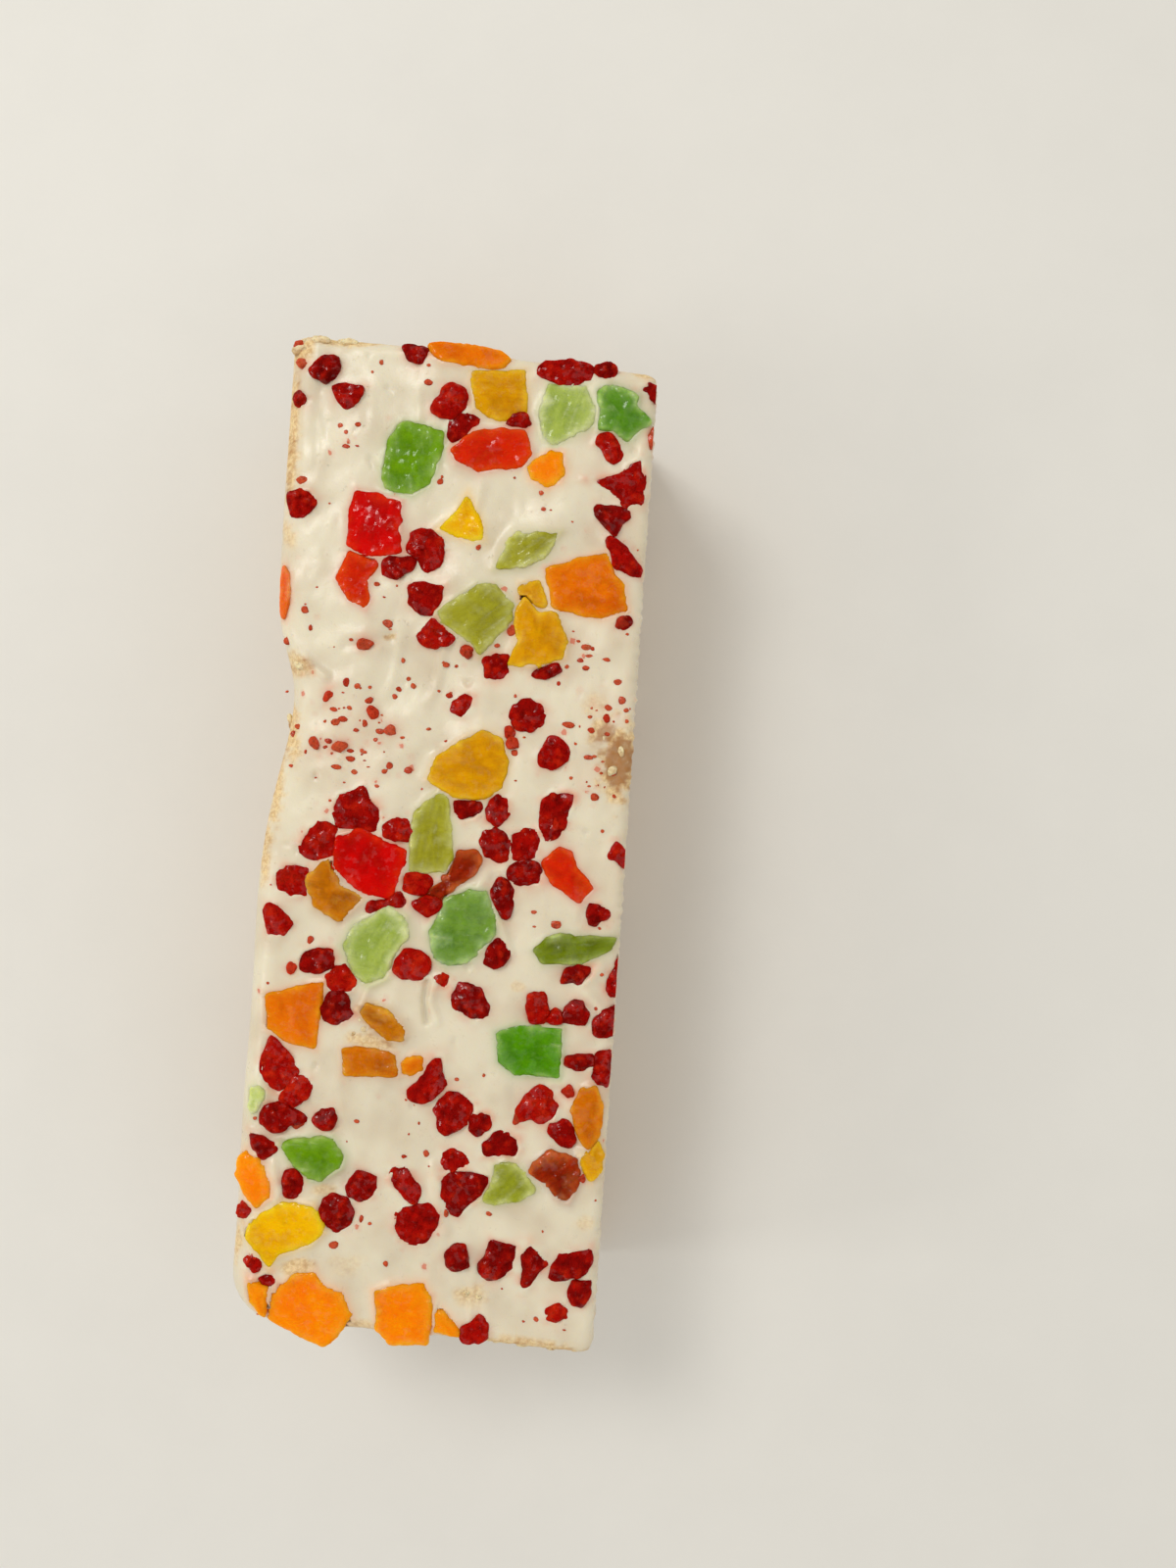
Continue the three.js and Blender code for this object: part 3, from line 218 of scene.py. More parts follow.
# Berry crumbs: x and y of each outline's corners, anticlockwise.
CRUMBS = (
    (-16.1, 48.4, -17, 47.6, -16.6, 47, -15.2, 46.5, -14.3, 47.1, -13.8, 48, -14.2, 49, -15.4, 49.1),
    (-13.9, 44.7, -13, 44, -12.3, 44.4, -11.5, 45.3, -11.3, 46.3, -12.4, 46.2, -13.6, 46.4, -14.5, 46.1),
    (-18.3, 33.9, -18, 32.8, -16.8, 32.9, -15.8, 33.6, -15.6, 34.8, -16.2, 35.7, -17.5, 35.3, -18.5, 35.1),
    (-7.1, 49.4, -5.9, 49.1, -5, 49.8, -5, 50.6, -6.5, 50.8, -7.7, 50.7),
    (-3.5, 45.8, -4.2, 45.2, -4.4, 44.3, -3.4, 43.9, -2.2, 43.7, -1.2, 44.5, -0.5, 45.6, -0.8, 46.8,
     -2.3, 47.2, -3.3, 46.8),
    (-2.4, 43.1, -2.6, 41.9, -1.8, 41.3, -0.5, 41.8, 0.2, 43, 0.7, 43.8, -0.4, 44.4, -1.8, 44.5),
    (3.3, 43.4, 4.1, 43.2, 5.6, 43, 5.8, 43.7, 5.2, 44.7, 4, 44.6),
    (6.3, 49.6, 6.3, 48.7, 8.1, 48.2, 9.6, 47.8, 10.8, 48.4, 11.8, 48.8, 12.1, 49.8, 10.9, 50.3, 9.4, 50.5,
     8.3, 50.2, 7, 50.2),
    (11.9, 49.4, 12.5, 48.7, 13.8, 48.8, 14.2, 49.7, 13.5, 50.5, 12.1, 50.2),
    (16.7, 47.8, 17.6, 47.5, 18.5, 46.7, 19.1, 47.1, 18.7, 48.1, 17.8, 48.7, 16.8, 48.4),
    (12.5, 42.1, 13.3, 41.7, 13.8, 40.8, 14.4, 40.1, 15.5, 40.7, 15.3, 41.5, 14.5, 42.8, 13.9, 43.3,
     12.9, 43),
    (17.8, 43, 18.2, 42.3, 18.7, 43.1, 18.7, 44.4),
    (16, 40.4, 15.6, 39.5, 14, 38.9, 11.7, 38.5, 14.6, 37.1, 16.1, 35.8, 17.7, 36.3, 17.8, 39.1, 17.5, 41.2),
    (13.1, 34.7, 14.2, 33.9, 15.1, 32.9, 15.9, 34.3, 16.6, 34.9, 16.3, 36.1, 14.5, 35.9, 12.9, 35.9),
    (14.7, 31.3, 15.4, 29.6, 16.6, 29, 17.9, 28.9, 18.1, 29.9, 17.2, 30.9, 16.1, 32, 14.9, 32.9, 14.1, 32.6),
    (-5.6, 30.9, -6, 29.8, -4.7, 29.2, -4.2, 28.2, -3.3, 27.9, -2.5, 28.7, -2.1, 29.8, -2.4, 31.2, -3.3, 32,
     -4.5, 32.2, -5.7, 32),
    (-8.1, 27.3, -6.8, 27, -5.7, 27.8, -4.7, 28.8, -5.2, 29.5, -6.4, 29.1, -7.5, 29.2, -8.4, 28.8),
    (-5.2, 24.6, -4.2, 23.7, -2.9, 23.6, -1.8, 24.4, -2.1, 25.4, -1.7, 26.7, -2.7, 26.5, -4.1, 26.7,
     -5.4, 26.5),
    (-3.6, 22.1, -4.3, 21.4, -3.9, 20.7, -2.4, 20.3, -1, 20.8, -0.4, 21.5, -1.6, 22.8, -2.6, 23.6),
    (1, 19.5, 1.5, 20, 1.2, 20.7, 0.2, 20.5),
    (15.9, 23.7, 16.7, 23.4, 17.2, 24, 16.9, 24.7, 15.9, 24.5),
    (3, 17.6, 4.1, 17.3, 5.3, 18.2, 5.4, 19.2, 5.2, 20.1, 3.6, 20.1, 2.5, 19.5),
    (7.5, 17.9, 9.3, 18, 10.6, 18.7, 10.3, 19.7, 9.2, 19.5, 7.8, 19),
    (0.7, 15.5, -0.2, 14.9, -0.3, 14, 0.9, 13.5, 1.9, 14.4, 2, 15.6, 1.3, 16.1),
    (5.9, 14.7, 5.7, 13.5, 6.6, 12.6, 7.9, 12.5, 9, 13.1, 9.3, 14.4, 8.7, 15.4, 7.7, 15.9, 6.5, 15.7),
    (9.5, 10.9, 8.9, 10, 9.2, 9, 10.5, 8.8, 11.8, 9.8, 12, 10.8, 10.9, 11.9, 9.8, 12.1),
    (-11.2, 4.7, -11.7, 3.4, -11.2, 2.4, -11, 1.3, -8.2, 1, -7.2, 1.1, -6.5, 2.4, -6.7, 3.7, -7.9, 4.7,
     -8.7, 5.6, -9.7, 5.1),
    (-14.8, -0.5, -14.6, -1.5, -12.7, -2.1, -11.2, -1.7, -10.9, -0.1, -11, 1.3, -12.7, 1.9, -13.9, 1.2),
    (-6.6, 1.8, -6.3, 0.8, -5, 0.2, -3.5, 0.4, -3.2, 1.3, -3.7, 2.3, -4.9, 2.7, -6, 2.5),
    (0.9, 3.5, 1.8, 2.8, 3, 3.1, 3.5, 4, 3.3, 5, 1.8, 5.2, 0.7, 5),
    (3.8, 4.3, 4, 3, 5.1, 2.4, 6, 3.3, 6.4, 4.5, 6.2, 5.5, 5.1, 5.9, 4.3, 5.3),
    (9.5, 5.5, 9.6, 4.1, 9.5, 2.3, 10.1, 1.2, 11.7, 2.2, 12.3, 3.7, 12.9, 5.2, 13, 6.5, 12, 6.6, 10.7, 6.4),
    (3.4, 0.5, 4, -0.8, 5.3, -1.2, 6.6, -0.8, 6.7, 0.7, 6, 1.9, 4.8, 2.3, 3.6, 2.1),
    (6.5, 0.1, 7.5, -0.9, 8.8, -1, 9.6, 0.3, 9.9, 1.6, 9.1, 2.6, 8, 2.4, 6.4, 2.1),
    (6.4, -2.6, 7.4, -3.2, 8.7, -3.4, 10.1, -3.1, 10.1, -2, 9.5, -1, 8.2, -0.8, 6.7, -1.5),
    (5, -4.1, 5.5, -5.5, 6, -6.7, 7, -6.8, 7.2, -5.7, 7.3, -4.2, 6.9, -3, 5.7, -2.7),
    (17, 1.1, 16.6, 0.2, 17.5, -0.3, 18.5, -0.8, 18.7, 0.5, 18, 1.1, 17.4, 2),
    (14.9, -5.8, 15.2, -6.9, 16.2, -6.7, 17.3, -5.9, 17, -5.2, 16.1, -4.5, 15, -4.6),
    (-17.1, -4.1, -16.6, -5.4, -15.4, -6.1, -13.8, -5.8, -13.2, -3.9, -13.6, -2.9, -15.1, -2.5, -16.2, -2.8),
    (-18.1, -7.7, -17.6, -8.8, -17.3, -10.1, -16.4, -10.3, -15.6, -9.7, -14.9, -8.7, -15.9, -7.9,
     -16.8, -6.9, -17.6, -6.7),
    (-4.1, -4.6, -2.9, -4.8, -1.8, -4.9, -1, -3.6, -1.7, -2.8, -3.1, -2.7, -4.2, -3),
    (-7.6, -6.9, -6.6, -7.2, -5.1, -6.7, -3.5, -6.6, -3.5, -5.6, -4.4, -4.6, -5.5, -5.4, -7.2, -5.8),
    (-2.9, -5.7, -2.5, -6.4, -1.3, -7.1, -0.2, -6.5, 0.3, -5.6, -0.3, -4.9, -1.7, -5.2),
    (-14.3, -12.3, -14, -13.3, -12.3, -13.7, -10.6, -13.1, -10.3, -12.1, -10.8, -10.9, -12.2, -10.8,
     -13.8, -11.4),
    (-11.3, -14, -10.9, -15.2, -9.6, -15.7, -8.3, -15.3, -8.4, -14.1, -9.5, -12.6, -10.7, -12.5),
    (-11.5, -17.1, -11.2, -18.4, -9.3, -18.6, -7.8, -17.6, -8.6, -16.8, -9.2, -15.5, -10.9, -15.4),
    (-4.2, -11.7, -4.4, -12.9, -2.9, -13.7, -1.4, -13.7, -0.5, -12.5, -0.7, -11.3, -2.1, -10.6, -3.4, -10.6),
    (4.9, -10.4, 4.8, -11.5, 5.8, -11.9, 6.9, -11.3, 7.3, -10.1, 6.9, -9.1, 5.8, -8.8),
    (0.2, -14, 1.3, -13.9, 1.6, -13.2, 0.9, -12.7, -0.1, -13),
    (1.6, -14.8, 2, -15.9, 3.2, -17, 4.4, -17.4, 5.6, -16.7, 5.4, -15.3, 4.6, -14, 3.3, -13.5, 2.1, -13.6),
    (12.8, -12.9, 14.9, -12.9, 16, -12, 15.9, -10.9, 14.7, -10.8, 13.2, -11.3),
    (18, -10.9, 17.1, -12.2, 17.1, -13.4, 17.8, -14.2, 18.8, -13.8, 19, -11.8, 18.9, -9.6),
    (9.4, -15.5, 9.8, -17.2, 11.1, -17.2, 11.9, -16.2, 11.5, -15.1, 11.3, -14.1, 9.4, -14.3),
    (13.4, -15.5, 13, -17, 14, -17.1, 15.5, -17, 15.7, -15.7, 15.1, -14.6, 14.2, -14.4),
    (16.2, -16.9, 16.4, -17.9, 17.6, -18.4, 18.9, -17.6, 18.7, -15.1, 17.1, -15.4),
    (-16.8, -21.3, -17.2, -22.8, -17.2, -24.4, -16.4, -25.8, -15.1, -26.2, -14.1, -25.6, -13.4, -24.6,
     -13.4, -23.4, -14.3, -22.3, -15.4, -21.2, -16.5, -19.9),
    (-14.2, -25.3, -15, -26.3, -14.7, -27.1, -13.4, -27.1, -12, -26.4, -11.7, -25.2, -12.1, -24.3,
     -13.6, -24.1),
    (-17, -28, -16.9, -29.4, -15.8, -30.1, -14.3, -29.7, -14, -29.1, -12.2, -28.9, -12.1, -28.4,
     -13.8, -27.3, -15.3, -26.8, -16.6, -27),
    (-11.3, -27.9, -11.6, -28.8, -10.7, -29.5, -9.6, -29.3, -9.2, -28.1, -9.7, -27.3, -10.7, -27.5),
    (-17.4, -31.9, -16.2, -32.8, -15.2, -32.2, -14.5, -31.1, -15.7, -31.1, -16.6, -30.5, -17.9, -30.2),
    (-14.2, -35.1, -13.8, -36.4, -12.6, -36.4, -12, -35.5, -12.2, -34.4, -12.9, -33.5, -13.9, -33.6),
    (-7.1, -34.3, -7.8, -35.3, -7.7, -36.3, -6.4, -36.6, -5.1, -36.3, -4.4, -35.1, -4.6, -33.8, -5.7, -33.6,
     -6.7, -33.4),
    (-10.5, -37.2, -10.7, -38.4, -9.6, -39.5, -8.4, -40, -7.2, -39, -6.8, -37.8, -7.5, -36.4, -8.8, -36.1,
     -9.9, -36.6),
    (-3.5, -34, -2.9, -35, -2, -35.5, -1.1, -36.6, -0.1, -36.3, -0.2, -35, -0.7, -33.8, -1.6, -32.8,
     -2.8, -32.8),
    (-2.3, -37.4, -2.7, -38.7, -2, -40.2, -0.5, -40.7, 0.9, -40.4, 1.9, -38.7, 2.2, -37.3, 1.1, -36.3,
     -0.4, -36.1, -1.8, -36.6),
    (-0.3, -22.5, -1, -24, -2.2, -24.8, -1.9, -25.8, -0.6, -26.1, 1.1, -25.2, 1.9, -23.8, 1.6, -22.7,
     1.4, -21, 0.2, -21.2),
    (0.9, -25.6, 0.6, -26.8, 1.2, -27.4, 1.1, -28.6, 2.1, -29.3, 3.6, -28.3, 5, -26.9, 4.9, -25.8,
     3.1, -24.5, 1.9, -24.5),
    (4.3, -27.5, 4.5, -28.7, 5.4, -29.1, 6.4, -28.1, 6.8, -26.9, 6.4, -26.5, 5.3, -26.6),
    (5.8, -29.7, 6, -31.2, 7.9, -31, 9.5, -31.2, 9.8, -30, 9.5, -28.9, 8.2, -28.5, 7, -28.2),
    (1.9, -32.7, 3, -32.9, 4.3, -32.5, 4.7, -31.5, 3.2, -30.8, 1.9, -31.1),
    (1.7, -33.8, 1.8, -35.4, 2.7, -36.5, 3.7, -37.6, 5, -36.4, 6.4, -35.3, 7.2, -34, 7, -32.9, 4.8, -32.5,
     3, -32.7),
    (9.8, -24.9, 8.9, -26.3, 9.3, -27.5, 10.6, -26.9, 11.8, -27.4, 13, -26.9, 13.5, -25.6, 12.8, -24.7,
     12.3, -23.9, 11.1, -23.7),
    (12.3, -28.2, 13.3, -29, 14.7, -29.8, 15.2, -28.9, 15.3, -27.4, 13.6, -26.8, 12.3, -27.1),
    (15.7, -32.8, 16.4, -32.7, 16.5, -32, 15.6, -31.9),
    (13.6, -21.3, 15.2, -21.7, 16.5, -21.2, 16.5, -20, 15.1, -20.1, 13.6, -20.5),
    (16.5, -21.1, 16.2, -22.3, 16.9, -23.3, 18.1, -23.4, 18.5, -21.6, 18.4, -19.8, 16.8, -19.8),
    (2.8, -41.3, 3, -42.6, 4, -42.9, 5.3, -42.5, 4.7, -40.4, 3.6, -40.1),
    (7, -41.2, 5.9, -42.3, 6.1, -43.2, 7.9, -43.6, 9.7, -42.6, 10.1, -41.1, 10.3, -39.8, 8.6, -39.6,
     7.2, -39.5),
    (10.6, -40.8, 10.6, -42.3, 10.5, -43.9, 11, -44.7, 11.7, -44, 12.6, -42.7, 13.4, -41.8, 12.3, -40.3,
     11.3, -39.5),
    (13.9, -41.7, 13.5, -43.3, 15.3, -43.2, 16.9, -42.5, 17.7, -41.4, 17.6, -39.6, 16, -40.2, 14.7, -40.5),
    (15.6, -44.2, 16, -45.2, 17.1, -45.8, 17.7, -44.7, 17.8, -43.1, 16, -43.2),
    (13.6, -46.3, 13.5, -47.2, 14.6, -47.6, 15.6, -47.1, 15.5, -45.9, 14.7, -45.5),
    (5.8, -48.4, 5, -48.8, 4.9, -50.2, 6.6, -50.2, 7.7, -49.7, 7.6, -47.9, 6.7, -47.4),
    (-16.3, -44.9, -15.9, -45.9, -14.7, -45.9, -14, -45.2, -14.4, -44.3, -15.4, -44.2),
    (-17.2, -43.7, -16.5, -44.6, -15.6, -44.3, -16, -42.9, -16.7, -42.5),
    (-18.7, -38.7, -18.2, -39.2, -17.3, -38.8, -17.1, -37.9, -18.3, -37.8),
)

# Crumbs under 2.3 mm, which only the finished bar has: middle x and y, length, width and turn.
SMALL_CRUMBS = (
    (-17.9, 44.8, 1.2, 1.2, 4), (-18.3, 50.3, 1.1, 0.9, 4), (-17.9, 48.4, 1.1, 0.8, -41),
    (18.3, 43.3, 2.2, 0.9, 84), (16.6, 24.2, 1.4, 1.4, 4), (0.8, 20.2, 1.3, 1, -26),
    (5.2, 22.6, 0.9, 0.8, 4), (5.9, 12.2, 1.2, 1, 4), (6.2, 11.1, 1.3, 1, -36),
    (-6.3, 11.6, 1, 0.8, 4), (-8.3, 13.3, 1.4, 0.8, -66), (-14, 9.8, 1.2, 0.8, -56),
    (-11.4, 9.6, 1.5, 0.8, 14), (-12.9, 14.7, 1.4, 0.7, 64), (-9.6, 20.2, 1.3, 1.1, 4),
    (0.8, -13.5, 1.5, 1.4, 4), (12.2, -16.5, 2, 1.4, 4), (9.5, -26.8, 1.8, 1.2, 74),
    (-13.2, -28.8, 1.6, 1.1, 4), (-16.6, -43.6, 2, 1.3, -56), (-18, -38.6, 1.4, 1.2, 4),
    (16, -32.6, 1.1, 1, 4), (14.3, -24.1, 1.4, 1.1, 4), (-14.8, -13.3, 1.2, 0.8, 84),
)

# Places where the dough shows through the marshmallow: middle x and y, length, width, turn, strength.
BARE_PATCHES = (
    (-14.4, 51, 9.6, 1.3, -2, 0.95), (-18.2, 49.9, 4, 3.4, 60, 1), (-18.7, 41.2, 15.5, 2.1, 91, 1),
    (-18.4, 31, 4, 1.6, -60, 0.6), (-16.4, 17.6, 4.2, 2.6, -20, 0.85), (-17.2, 11.8, 9.5, 2.6, 105, 1),
    (-18, 5.5, 10.5, 1.9, 93, 0.95), (-18.6, -1.2, 8.5, 1.6, 93, 0.9), (17.2, 49.8, 3.4, 1.4, -5, 0.9),
    (17.3, 9.8, 8.6, 4.6, 88, 1), (15.1, 12.9, 3.6, 2.6, 60, 0.8), (14.3, 15.6, 3, 2.4, 0, 0.35),
    (17.8, 13.4, 3, 1, 88, 0.4), (-5.9, -17.6, 4, 2.4, -35, 0.95), (-6.2, -20.2, 5, 1.8, -10, 0.8),
    (-9.8, -35.7, 2.4, 1.5, 0, 0.6), (-12.2, -43.5, 4, 2, 10, 0.85), (5.6, -45.4, 3.8, 2.2, 10, 0.65),
    (16.9, -37.1, 2.4, 1.6, 0, 0.35), (-18.7, -41.8, 4.6, 1.3, 85, 0.9), (-5.3, -49.3, 3, 1.4, 0, 0.7),
    (11, -50.3, 14, 1.7, -1, 0.95), (-7.2, -43, 4, 2.2, 10, 0.25), (-9.6, 20.3, 1.1, 0.8, 0, 0.9),
    (-7, 21.1, 1.6, 0.6, 15, 0.8), (-14.6, -13.4, 2.2, 1.2, 80, 0.3), (8.4, -13.6, 1.6, 1.2, 0, 0.4),
)

# Where the bare dough is toasted brown: middle x and y, length, width, turn and strength.
TOASTED_PATCHES = (
    (17.4, 10, 6.4, 3, 88, 1), (15.6, 12.6, 3, 1.8, 60, 0.8), (-6.2, -17.2, 2.6, 1.4, -35, 0.7),
)

# Folds, and grooves where the height is negative: points along each, then its height and width.
FOLDS = (
    (((-18, 21.2), (-16.7, 19.3), (-14.8, 17.6), (-13.3, 16.6)), 0.45, 0.5),
    (((-11.4, 19.9), (-9.1, 20.4), (-6.8, 21.1)), -0.3, 0.6),
    (((-14.1, 50.9), (-15.6, 46.7), (-15.5, 40.8)), -0.35, 1.6),
    (((3.7, -3.7), (4.7, -2.1), (6.2, -1.7)), 0.35, 0.6),
    (((-7.9, -16.8), (-6.8, -14.7), (-4.8, -13.4)), 0.4, 0.5),
    (((-0.9, -13.7), (-1.1, -15.8), (-0.7, -17.8)), -0.6, 0.3),
    (((-0.1, -13.6), (-0.4, -15.7), (0.5, -17.7)), 0.3, 0.4),
    (((-17.7, -13.1), (-18, -18.4)), 0.15, 0.5),
    (((6.3, -7.3), (7.3, -10.2)), 0.3, 0.4),
    (((16.8, -11), (14.9, -13.2), (17.1, -15.7)), 0.35, 0.6),
    (((-18.1, -30.3), (-15.9, -31.7), (-14.8, -31.1)), 0.4, 0.35),
    (((-15.2, -33.1), (-14.4, -36), (-14.7, -36.9)), 0.3, 0.4),
    (((0.9, -32.6), (1.8, -36.7), (2.5, -39)), 0.4, 0.7),
    (((13.8, -23.2), (12.3, -23.3)), 0.3, 0.4),
)

# Where the red dust lies thickest: middle x and y, spread and share.
DUST_CLOUDS = (
    (-11, 11, 3.6, 0.9), (-8.5, 7, 2, 0.5), (15.4, 14.6, 2.6, 0.9), (14.5, 8, 2.2, 0.6),
    (6.4, 11.5, 1, 0.8), (12, 21.5, 2.2, 0.6), (-12.8, 40.6, 1.2, 0.9), (-5.7, 48.5, 1, 0.7),
    (12.5, 33.4, 0.8, 0.8), (14.2, -24.4, 1, 0.9),
)

# Torn foam and dough on the pour: middle x and y, length, width, turn, height, rise over the surface.
LOOSE_BITS = np.array((
    (-18.2, 50.2, 2.2, 1.4, 30, 1.2, -0.35), (-16.2, 50.9, 2.2, 0.9, -4, 1, -0.35),
    (-13.4, 51, 2.6, 0.7, -3, 0.9, -0.4), (-7, -16.4, 1.5, 0.8, -30, 0.7, -0.05),
    (-5.6, -17.1, 1.2, 0.9, 20, 0.8, 0), (-4.5, -18.3, 1.1, 0.6, -50, 0.6, -0.05),
    (-6.6, -18.9, 1.6, 0.6, 10, 0.6, 0), (-8.2, -19.6, 1.1, 0.6, 40, 0.6, -0.05),
    (-7.4, -17.9, 1, 0.6, 70, 0.6, 0), (5.4, -50.3, 1.5, 0.8, 5, 1.2, -0.9),
    (8.3, -50.5, 1.9, 0.8, -6, 1.2, -0.9), (11.3, -50.6, 1.6, 0.7, 10, 1.1, -0.9),
    (14.4, -50.7, 1.8, 0.8, -8, 1.3, -0.9), (16.6, -50.3, 1.3, 0.8, -20, 1.2, -0.9),
    (-12.2, -43.6, 1.2, 0.7, 15, 0.5, -0.15), (-16.2, 17.6, 1.3, 0.7, -20, 0.6, -0.2),
    (-17.4, 11.9, 1.7, 0.6, 100, 0.7, -0.3), (5.2, -45.3, 0.9, 0.6, 30, 0.4, -0.15),
    (6.5, -45.6, 0.8, 0.5, -10, 0.4, -0.15), (16.5, 9, 1.2, 0.8, 60, 0.5, -0.15),
    (15.6, 12.4, 1, 0.6, 80, 0.5, -0.15), (17.3, 11, 1.1, 0.6, 95, 0.6, -0.2),
))

# Camera: straight above, with the photograph's lean of the bar.
CAMERA_OVER = (14.13, 7.47)
CAMERA_DISTANCE = 120.2
CAMERA_LEAN = 3.85
LENS = 27.05
SENSOR = 36.0

# Studio lights: name, place in metres, size in metres, power in watts and tint.
STUDIO_LIGHTS = (
    ("window_light", (-0.26, 0.3, 0.52), 0.2, 1.35, (1.0, 0.99, 0.97)),
    ("side_light", (-0.5, -0.12, 0.3), 0.12, 0.42, (1.0, 0.99, 0.97)),
    ("fill_light", (0.5, -0.3, 0.45), 0.7, 0.5, (1.0, 0.98, 0.95)),
)
ROOM_LIGHT = 0.7
ROOM_COLOUR = (1.0, 0.992, 0.97)
HALF_FLOOR = 2.5

# ---------- repeatable draws and noise


def draw(item, key):
    """A repeatable number between 0 and 1: the fractional part of a large multiple of a sine."""
    value = np.sin(np.asarray(item) * 127.1 + np.asarray(key) * 311.7) * 43758.5453
    return value - np.floor(value)


def between(limits, share):
    """The first limit at share 0, the second at share 1."""
    return limits[0] + (limits[1] - limits[0]) * share


def smooth_step(low, high, value):
    """0 below low, 1 above high, and 3 t squared minus 2 t cubed between them."""
    share = np.clip((value - low) / (high - low), 0, 1)
    return share * share * (3 - 2 * share)


def wave_field(points, size, seed, layers=3, waves=11):
    """Smooth noise: cosines along random directions added up, each layer half as long and 0.55 as strong."""
    random = np.random.default_rng(seed)
    total = np.zeros(points.shape[:-1])
    strength = 1.0
    for layer in range(layers):
        directions = random.normal(size=(waves, points.shape[-1]))
        directions /= np.linalg.norm(directions, axis=1, keepdims=True)
        lengths = size / 2 ** layer * random.uniform(0.75, 1.5, waves)
        phases = random.uniform(0, 2 * np.pi, waves)
        angle = points @ (directions * (2 * np.pi / lengths)[:, None]).T + phases
        total += strength * np.cos(angle).sum(axis=-1) / math.sqrt(waves / 2)
        strength *= 0.55
    return 0.5 * total


def cell_field(points, size, seed):
    """Distance to the nearest of points strewn one to a cube, in cube sizes, and a number for its cube."""
    scaled = points / size
    home = np.floor(scaled)
    nearest = np.full(points.shape[:-1], 9.0)
    label = np.zeros(points.shape[:-1])
    steps = np.array(np.meshgrid((-1, 0, 1), (-1, 0, 1), (-1, 0, 1))).reshape(3, -1).T
    for step in steps:
        cube = home + step
        key = cube @ np.array((1.0, 57.0, 113.0)) + seed
        seat = cube + np.stack([draw(key, 1), draw(key, 2), draw(key, 3)], axis=-1)
        distance = np.linalg.norm(scaled - seat, axis=-1)
        closer = distance < nearest
        nearest = np.where(closer, distance, nearest)
        label = np.where(closer, draw(key, 4), label)
    return nearest, label


# ---------- the bar's outline and surface


def rounding(distance, radius):
    """How far a quarter circle has fallen: radius less the root of radius squared less inside squared."""
    inside = np.clip(radius - distance, 0, radius)
    return radius - np.sqrt(radius * radius - inside * inside)


def left_edge(y):
    """The left face: straight, with a bell-shaped dent and quarter-circle corners."""
    spread = np.where(y > WAIST_MIDDLE, WAIST_SPREAD[1], WAIST_SPREAD[0])
    waist = WAIST_DEPTH * np.exp(-(((y - WAIST_MIDDLE) / spread) ** 2))
    return LEFT_FACE + waist + rounding(y - LOW_END, WORN_CORNER) + rounding(HIGH_END - y, CORNER)


def right_edge(y):
    """The right face: straight, with quarter-circle corners."""
    return RIGHT_FACE - rounding(y - LOW_END, CORNER) - rounding(HIGH_END - y, CORNER)


def edge_distance(x, y):
    """Distance in from the nearest face, in the bar's unslanted frame."""
    return np.minimum(np.minimum(x - left_edge(y), right_edge(y) - x), np.minimum(y - LOW_END, HIGH_END - y))


def surface_height(x, y):
    """Level plus long low waves, less the quarter-circle fall at the edges, in the bar's unslanted frame."""
    waves = 0.24 * np.sin(0.21 * x + 0.9) * np.cos(0.13 * y + 1.9)
    waves += 0.16 * np.sin(0.27 * y - 0.16 * x) + 0.1 * np.sin(0.43 * x + 0.31 * y)
    left = rounding(x - left_edge(y), LEFT_ROUNDING)
    right = rounding(right_edge(y) - x, EDGE_ROUNDING)
    ends = rounding(np.minimum(y - LOW_END, HIGH_END - y), EDGE_ROUNDING)
    fall = np.minimum(np.sqrt(left ** 2 + right ** 2 + ends ** 2), DEEPEST_ROUNDING)
    return MALLOW_LEVEL + waves - fall


def height_at(x, y):
    """The marshmallow's height under a place given in the slanted frame of the fruit and crumbs."""
    return surface_height(x, y - END_SLANT * x)


def edge_lines(low, high, low_radius, high_radius, step, arc_steps=7):
    """Grid lines from edge to edge: radius times one minus cosine at both rounded edges, even between."""
    arc = 1 - np.cos(np.linspace(0, np.pi / 2, arc_steps + 1))
    middle = np.linspace(low + low_radius, high - high_radius, round((high - low) / step))
    return np.concatenate([low + low_radius * arc[:-1], middle, high - high_radius * arc[:-1][::-1]])


def footprint_grid(step):
    """A grid of x and y over the footprint: rows from end to end, columns from the left to the right edge."""
    rows = edge_lines(LOW_END, HIGH_END, WORN_CORNER, EDGE_ROUNDING, step)
    width = RIGHT_FACE - LEFT_FACE
    shares = edge_lines(0, 1, LEFT_ROUNDING / width, EDGE_ROUNDING / width, step / width)
    y = np.repeat(rows[:, None], len(shares), axis=1)
    x = left_edge(y) + (right_edge(y) - left_edge(y)) * shares[None, :]
    return x, y


def outward_of(edge):
    """The outward direction along a closed border: the step between a point's neighbours, turned right."""
    step = np.roll(edge, -1, 0) - np.roll(edge, 1, 0)
    outward = np.stack([step[:, 1], -step[:, 0]], axis=-1)
    return outward / np.linalg.norm(outward, axis=1, keepdims=True)


def ring_order(rows, columns):
    """Indices of a grid's border, anticlockwise from its first corner."""
    grid = np.arange(rows * columns).reshape(rows, columns)
    return np.concatenate([grid[0, :-1], grid[:-1, -1], grid[-1, :0:-1], grid[:0:-1, 0]])


# ---------- meshes


def placed(points):
    """From millimetres in the bar's slanted frame to the frame's metres."""
    moved = np.array(points, dtype=float)
    moved[..., :2] -= FOOTPRINT_MIDDLE
    return moved * MM


def slanted(x, y):
    """Y in the slanted frame, in which the tables' places are given."""
    return y + END_SLANT * x


